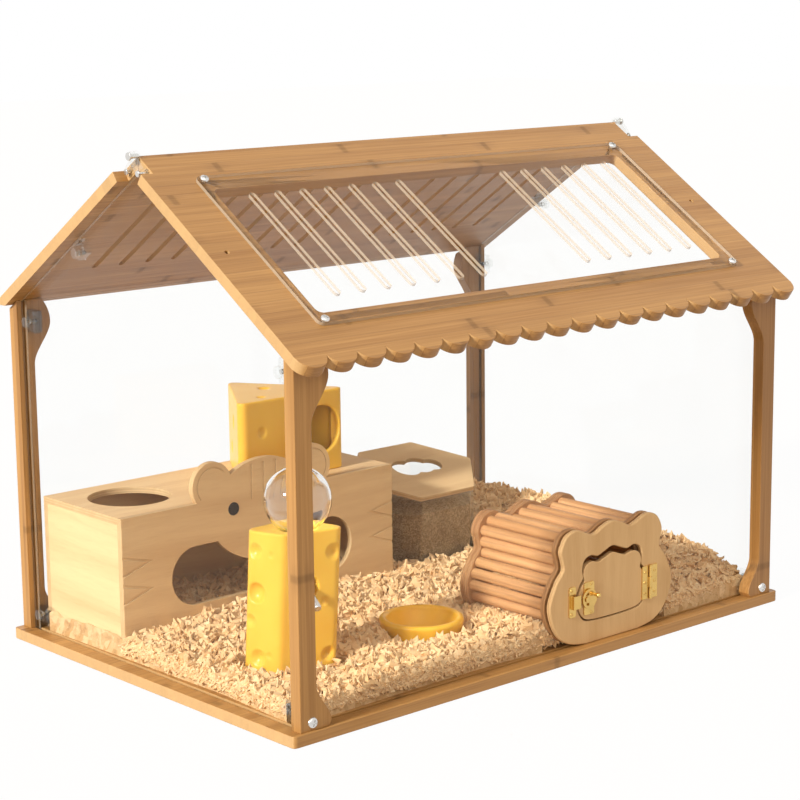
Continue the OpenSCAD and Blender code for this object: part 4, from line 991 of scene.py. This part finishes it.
def chip_shape(seed):
    """One crumpled flake, about 2 units across, thin and curled."""
    draw = random.Random(seed)
    long, wide = draw.uniform(0.75, 1.15), draw.uniform(0.45, 0.85)
    curl, twist = draw.uniform(-1.1, 1.1), draw.uniform(-0.6, 0.6)
    columns, rows, thick = 3, 2, draw.uniform(0.16, 0.30)
    form = bmesh.new()
    layers = []
    for side in (-1, 1):
        grid = []
        for i in range(columns + 1):
            for j in range(rows + 1):
                u, v = 2 * i / columns - 1, 2 * j / rows - 1
                rag = draw.uniform(0.82, 1.0)
                bend = curl * 0.42 * u * u + twist * u * v
                z = bend + draw.uniform(-0.10, 0.10) + side * thick * draw.uniform(0.6, 1)
                grid.append(form.verts.new((u * long * rag, v * wide * rag, z)))
        layers.append(grid)
    step = rows + 1
    for grid in layers:
        for i in range(columns):
            for j in range(rows):
                a = i * step + j
                form.faces.new((grid[a], grid[a + step], grid[a + step + 1], grid[a + 1]))
    border = [i * step for i in range(columns + 1)] + [columns * step + j for j in range(1, step)]
    border += [i * step + rows for i in range(columns - 1, -1, -1)] + [j for j in range(rows - 1, 0, -1)]
    for a, b in zip(border, border[1:] + border[:1]):
        form.faces.new((layers[0][a], layers[0][b], layers[1][b], layers[1][a]))
    bmesh.ops.recalc_face_normals(form, faces=form.faces)
    mesh = bpy.data.meshes.new("chip_%d" % seed)
    form.to_mesh(mesh)
    form.free()
    return bpy.data.objects.new("chip_%d" % seed, mesh)


def chip_tree():
    """Geometry nodes that drop a random chip, at a random size and turn, on every point."""
    tree = new_tree("scattered_chips", Chips="Collection", Smallest="Float", Largest="Float",
                    Seed="Int", Wood="Material")
    entry = tree.nodes.new("NodeGroupInput")
    kinds = tree.nodes.new("GeometryNodeCollectionInfo")
    kinds.inputs["Separate Children"].default_value = True
    kinds.inputs["Reset Children"].default_value = True
    size = tree.nodes.new("FunctionNodeRandomValue")
    tumble = tree.nodes.new("FunctionNodeRandomValue")
    tumble.data_type = "FLOAT_VECTOR"
    tumble.inputs["Min"].default_value = (-1.0, -1.0, 0.0)
    tumble.inputs["Max"].default_value = (1.0, 1.0, 6.28)
    shade = tree.nodes.new("FunctionNodeRandomValue")
    drop = tree.nodes.new("GeometryNodeInstanceOnPoints")
    drop.inputs["Pick Instance"].default_value = True
    stain = tree.nodes.new("GeometryNodeStoreNamedAttribute")
    stain.domain = "INSTANCE"
    stain.inputs["Name"].default_value = "tone"
    solid = tree.nodes.new("GeometryNodeRealizeInstances")
    wood = tree.nodes.new("GeometryNodeSetMaterial")
    leave = tree.nodes.new("NodeGroupOutput")
    link = tree.links.new
    link(entry.outputs["Chips"], kinds.inputs["Collection"])
    link(entry.outputs["Smallest"], size.inputs[2])
    link(entry.outputs["Largest"], size.inputs[3])
    for random_value in (size, tumble, shade):
        link(entry.outputs["Seed"], random_value.inputs["Seed"])
    link(entry.outputs["Geometry"], drop.inputs["Points"])
    link(kinds.outputs[0], drop.inputs["Instance"])
    link(tumble.outputs[0], drop.inputs["Rotation"])
    link(size.outputs[1], drop.inputs["Scale"])
    link(drop.outputs[0], stain.inputs["Geometry"])
    link(shade.outputs[1], stain.inputs["Value"])
    link(stain.outputs[0], solid.inputs[0])
    link(solid.outputs[0], wood.inputs["Geometry"])
    link(entry.outputs["Wood"], wood.inputs["Material"])
    link(wood.outputs[0], leave.inputs[0])
    return tree


aspen = Finish("aspen_chips")
aspen_lot = aspen.node("ShaderNodeAttribute", {"attribute_name": "tone"}, {}, "Fac")
aspen_fibre = aspen.noise(aspen.stretch(aspen.place(), (1, 1, 2.5)), 650.0, 3.0)
aspen_tone = aspen.mix(aspen_lot, (0.93, 0.76, 0.52), (0.80, 0.56, 0.31))
aspen_tone = aspen.mix(aspen_fibre.ramp(0.45, 0.8) * 0.3, aspen_tone, (0.66, 0.42, 0.20))
aspen.done(aspen.coat(
    Base_Color=aspen_tone, Roughness=0.75 + aspen_fibre * 0.15, Normal=aspen.bump(aspen_fibre, 0.0004, 0.5)))

packed = Finish("packed_chips")
packed_cell = packed.node("ShaderNodeTexVoronoi", {}, {"Vector": packed.place(), "Scale": 150.0}, "Color")
packed_lot = packed.node("ShaderNodeSeparateColor", {}, {0: packed_cell})
packed_crevices_and_shade = packed.noise(packed.place(), 160.0, 4.0)
packed_tone = packed.mix(packed_lot, (0.80, 0.60, 0.37), (0.58, 0.37, 0.18))
# Darker crevices between the packed chips: painted shade.
packed_tone = packed.mix(packed_crevices_and_shade.ramp(0.45, 0.75) * 0.6, packed_tone, (0.38, 0.21, 0.09))
packed.done(packed.coat(
    Base_Color=packed_tone, Roughness=0.9, Normal=packed.bump(packed_crevices_and_shade + packed_lot, 0.002, 0.8)))
heap = settled("bedding_heap", merged("bedding"))
heap_in = 0.0048
heap_sole = 0.008
for corner in heap.data.vertices:
    if corner.co.z > bed_low.z + heap_sole:
        corner.co.z += heaped(corner.co.x, corner.co.y)
    inner_x = min(bed_high.x - heap_in, max(bed_low.x + heap_in, corner.co.x))
    inner_y = min(bed_high.y - heap_in, max(bed_low.y + heap_in, corner.co.y))
    if bed_reaches(inner_x, inner_y, 0.001):
        corner.co.x = inner_x
        corner.co.y = inner_y
stands_for(heap, packed.material, "bedding")

chips = bpy.data.collections.new("chips")
for kind in range(8):
    chips.objects.link(chip_shape(100 + kind))
scatter = chip_tree()
draw = random.Random(41)
bands = 5
fields = {"band_%d" % k: [] for k in range(bands)}
fields["rim_left"] = []
fields["rim_right"] = []
chip_room = 0.004
chip_least = 0.0030
chip_most = 0.0062
rim_most = 0.0036
top_tries = 15000
rim_tries = 6500
drift_tries = 2600
bed_floor = bed_low.z + 0.003
for tries in range(top_tries):
    x = draw.uniform(bed_low.x, bed_high.x)
    y = draw.uniform(bed_low.y, bed_high.y)
    lift = draw.uniform(-0.0025, 0.0025)
    if bed_reaches(x, y, chip_room):
        band = int(bands * (y - bed_low.y) / (bed_high.y - bed_low.y))
        fields["band_%d" % band].append((x, y, bed_top(x, y) + lift))
rim_ends = (bed_low + Vector((chip_room, chip_room, 0)), bed_high - Vector((chip_room, chip_room, 0)))
for tries in range(rim_tries):
    x = draw.uniform(rim_ends[0].x, rim_ends[1].x)
    y = draw.uniform(rim_ends[0].y, rim_ends[1].y)
    if draw.random() < 0.6:
        y = draw.choice(rim_ends).y
    else:
        x = draw.choice(rim_ends).x
    rise = draw.uniform(0.15, 1.0)
    if bed_reaches(x, y, chip_room * 0.99):
        side = "rim_left" if x < 0 else "rim_right"
        fields[side].append((x, y, bed_floor + rise * (bed_top(x, y) - bed_floor)))
slat_rays = rays(cad["tunnel_slats"].data)
slats_low, slats_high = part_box("tunnel_slats")
fields["drift"] = []
drift_top = 0.030
for tries in range(drift_tries):
    y = draw.uniform(bed_low.y + chip_room, slats_high.y)
    z = bed_floor + draw.random() * (drift_top - bed_floor)
    way = draw.choice((-1, 1))
    start = Vector((slats_low.x if way > 0 else slats_high.x, y, z)) - Vector((way * 0.006, 0, 0))
    hit = slat_rays.ray_cast(start, Vector((way, 0, 0)))[0]
    if hit and abs(hit.x - start.x) < 0.05:
        fields["drift"].append((start.x + (hit.x - way * 0.002 - start.x) * draw.random(), y, z))
for k, (field, spots) in enumerate(fields.items()):
    seeds = bpy.data.meshes.new("bedding_" + field)
    seeds.from_pydata(spots, [], [])
    largest = rim_most if field.startswith("rim") else chip_most
    settings = {"Chips": chips, "Smallest": chip_least, "Largest": largest, "Seed": 20 + k}
    settings["Wood"] = aspen.material
    loose = grown("bedding_chips_" + field, scatter, seeds, settings)
    shaded(loose.data, 50)
    stands_for(loose, aspen.material, "bedding")
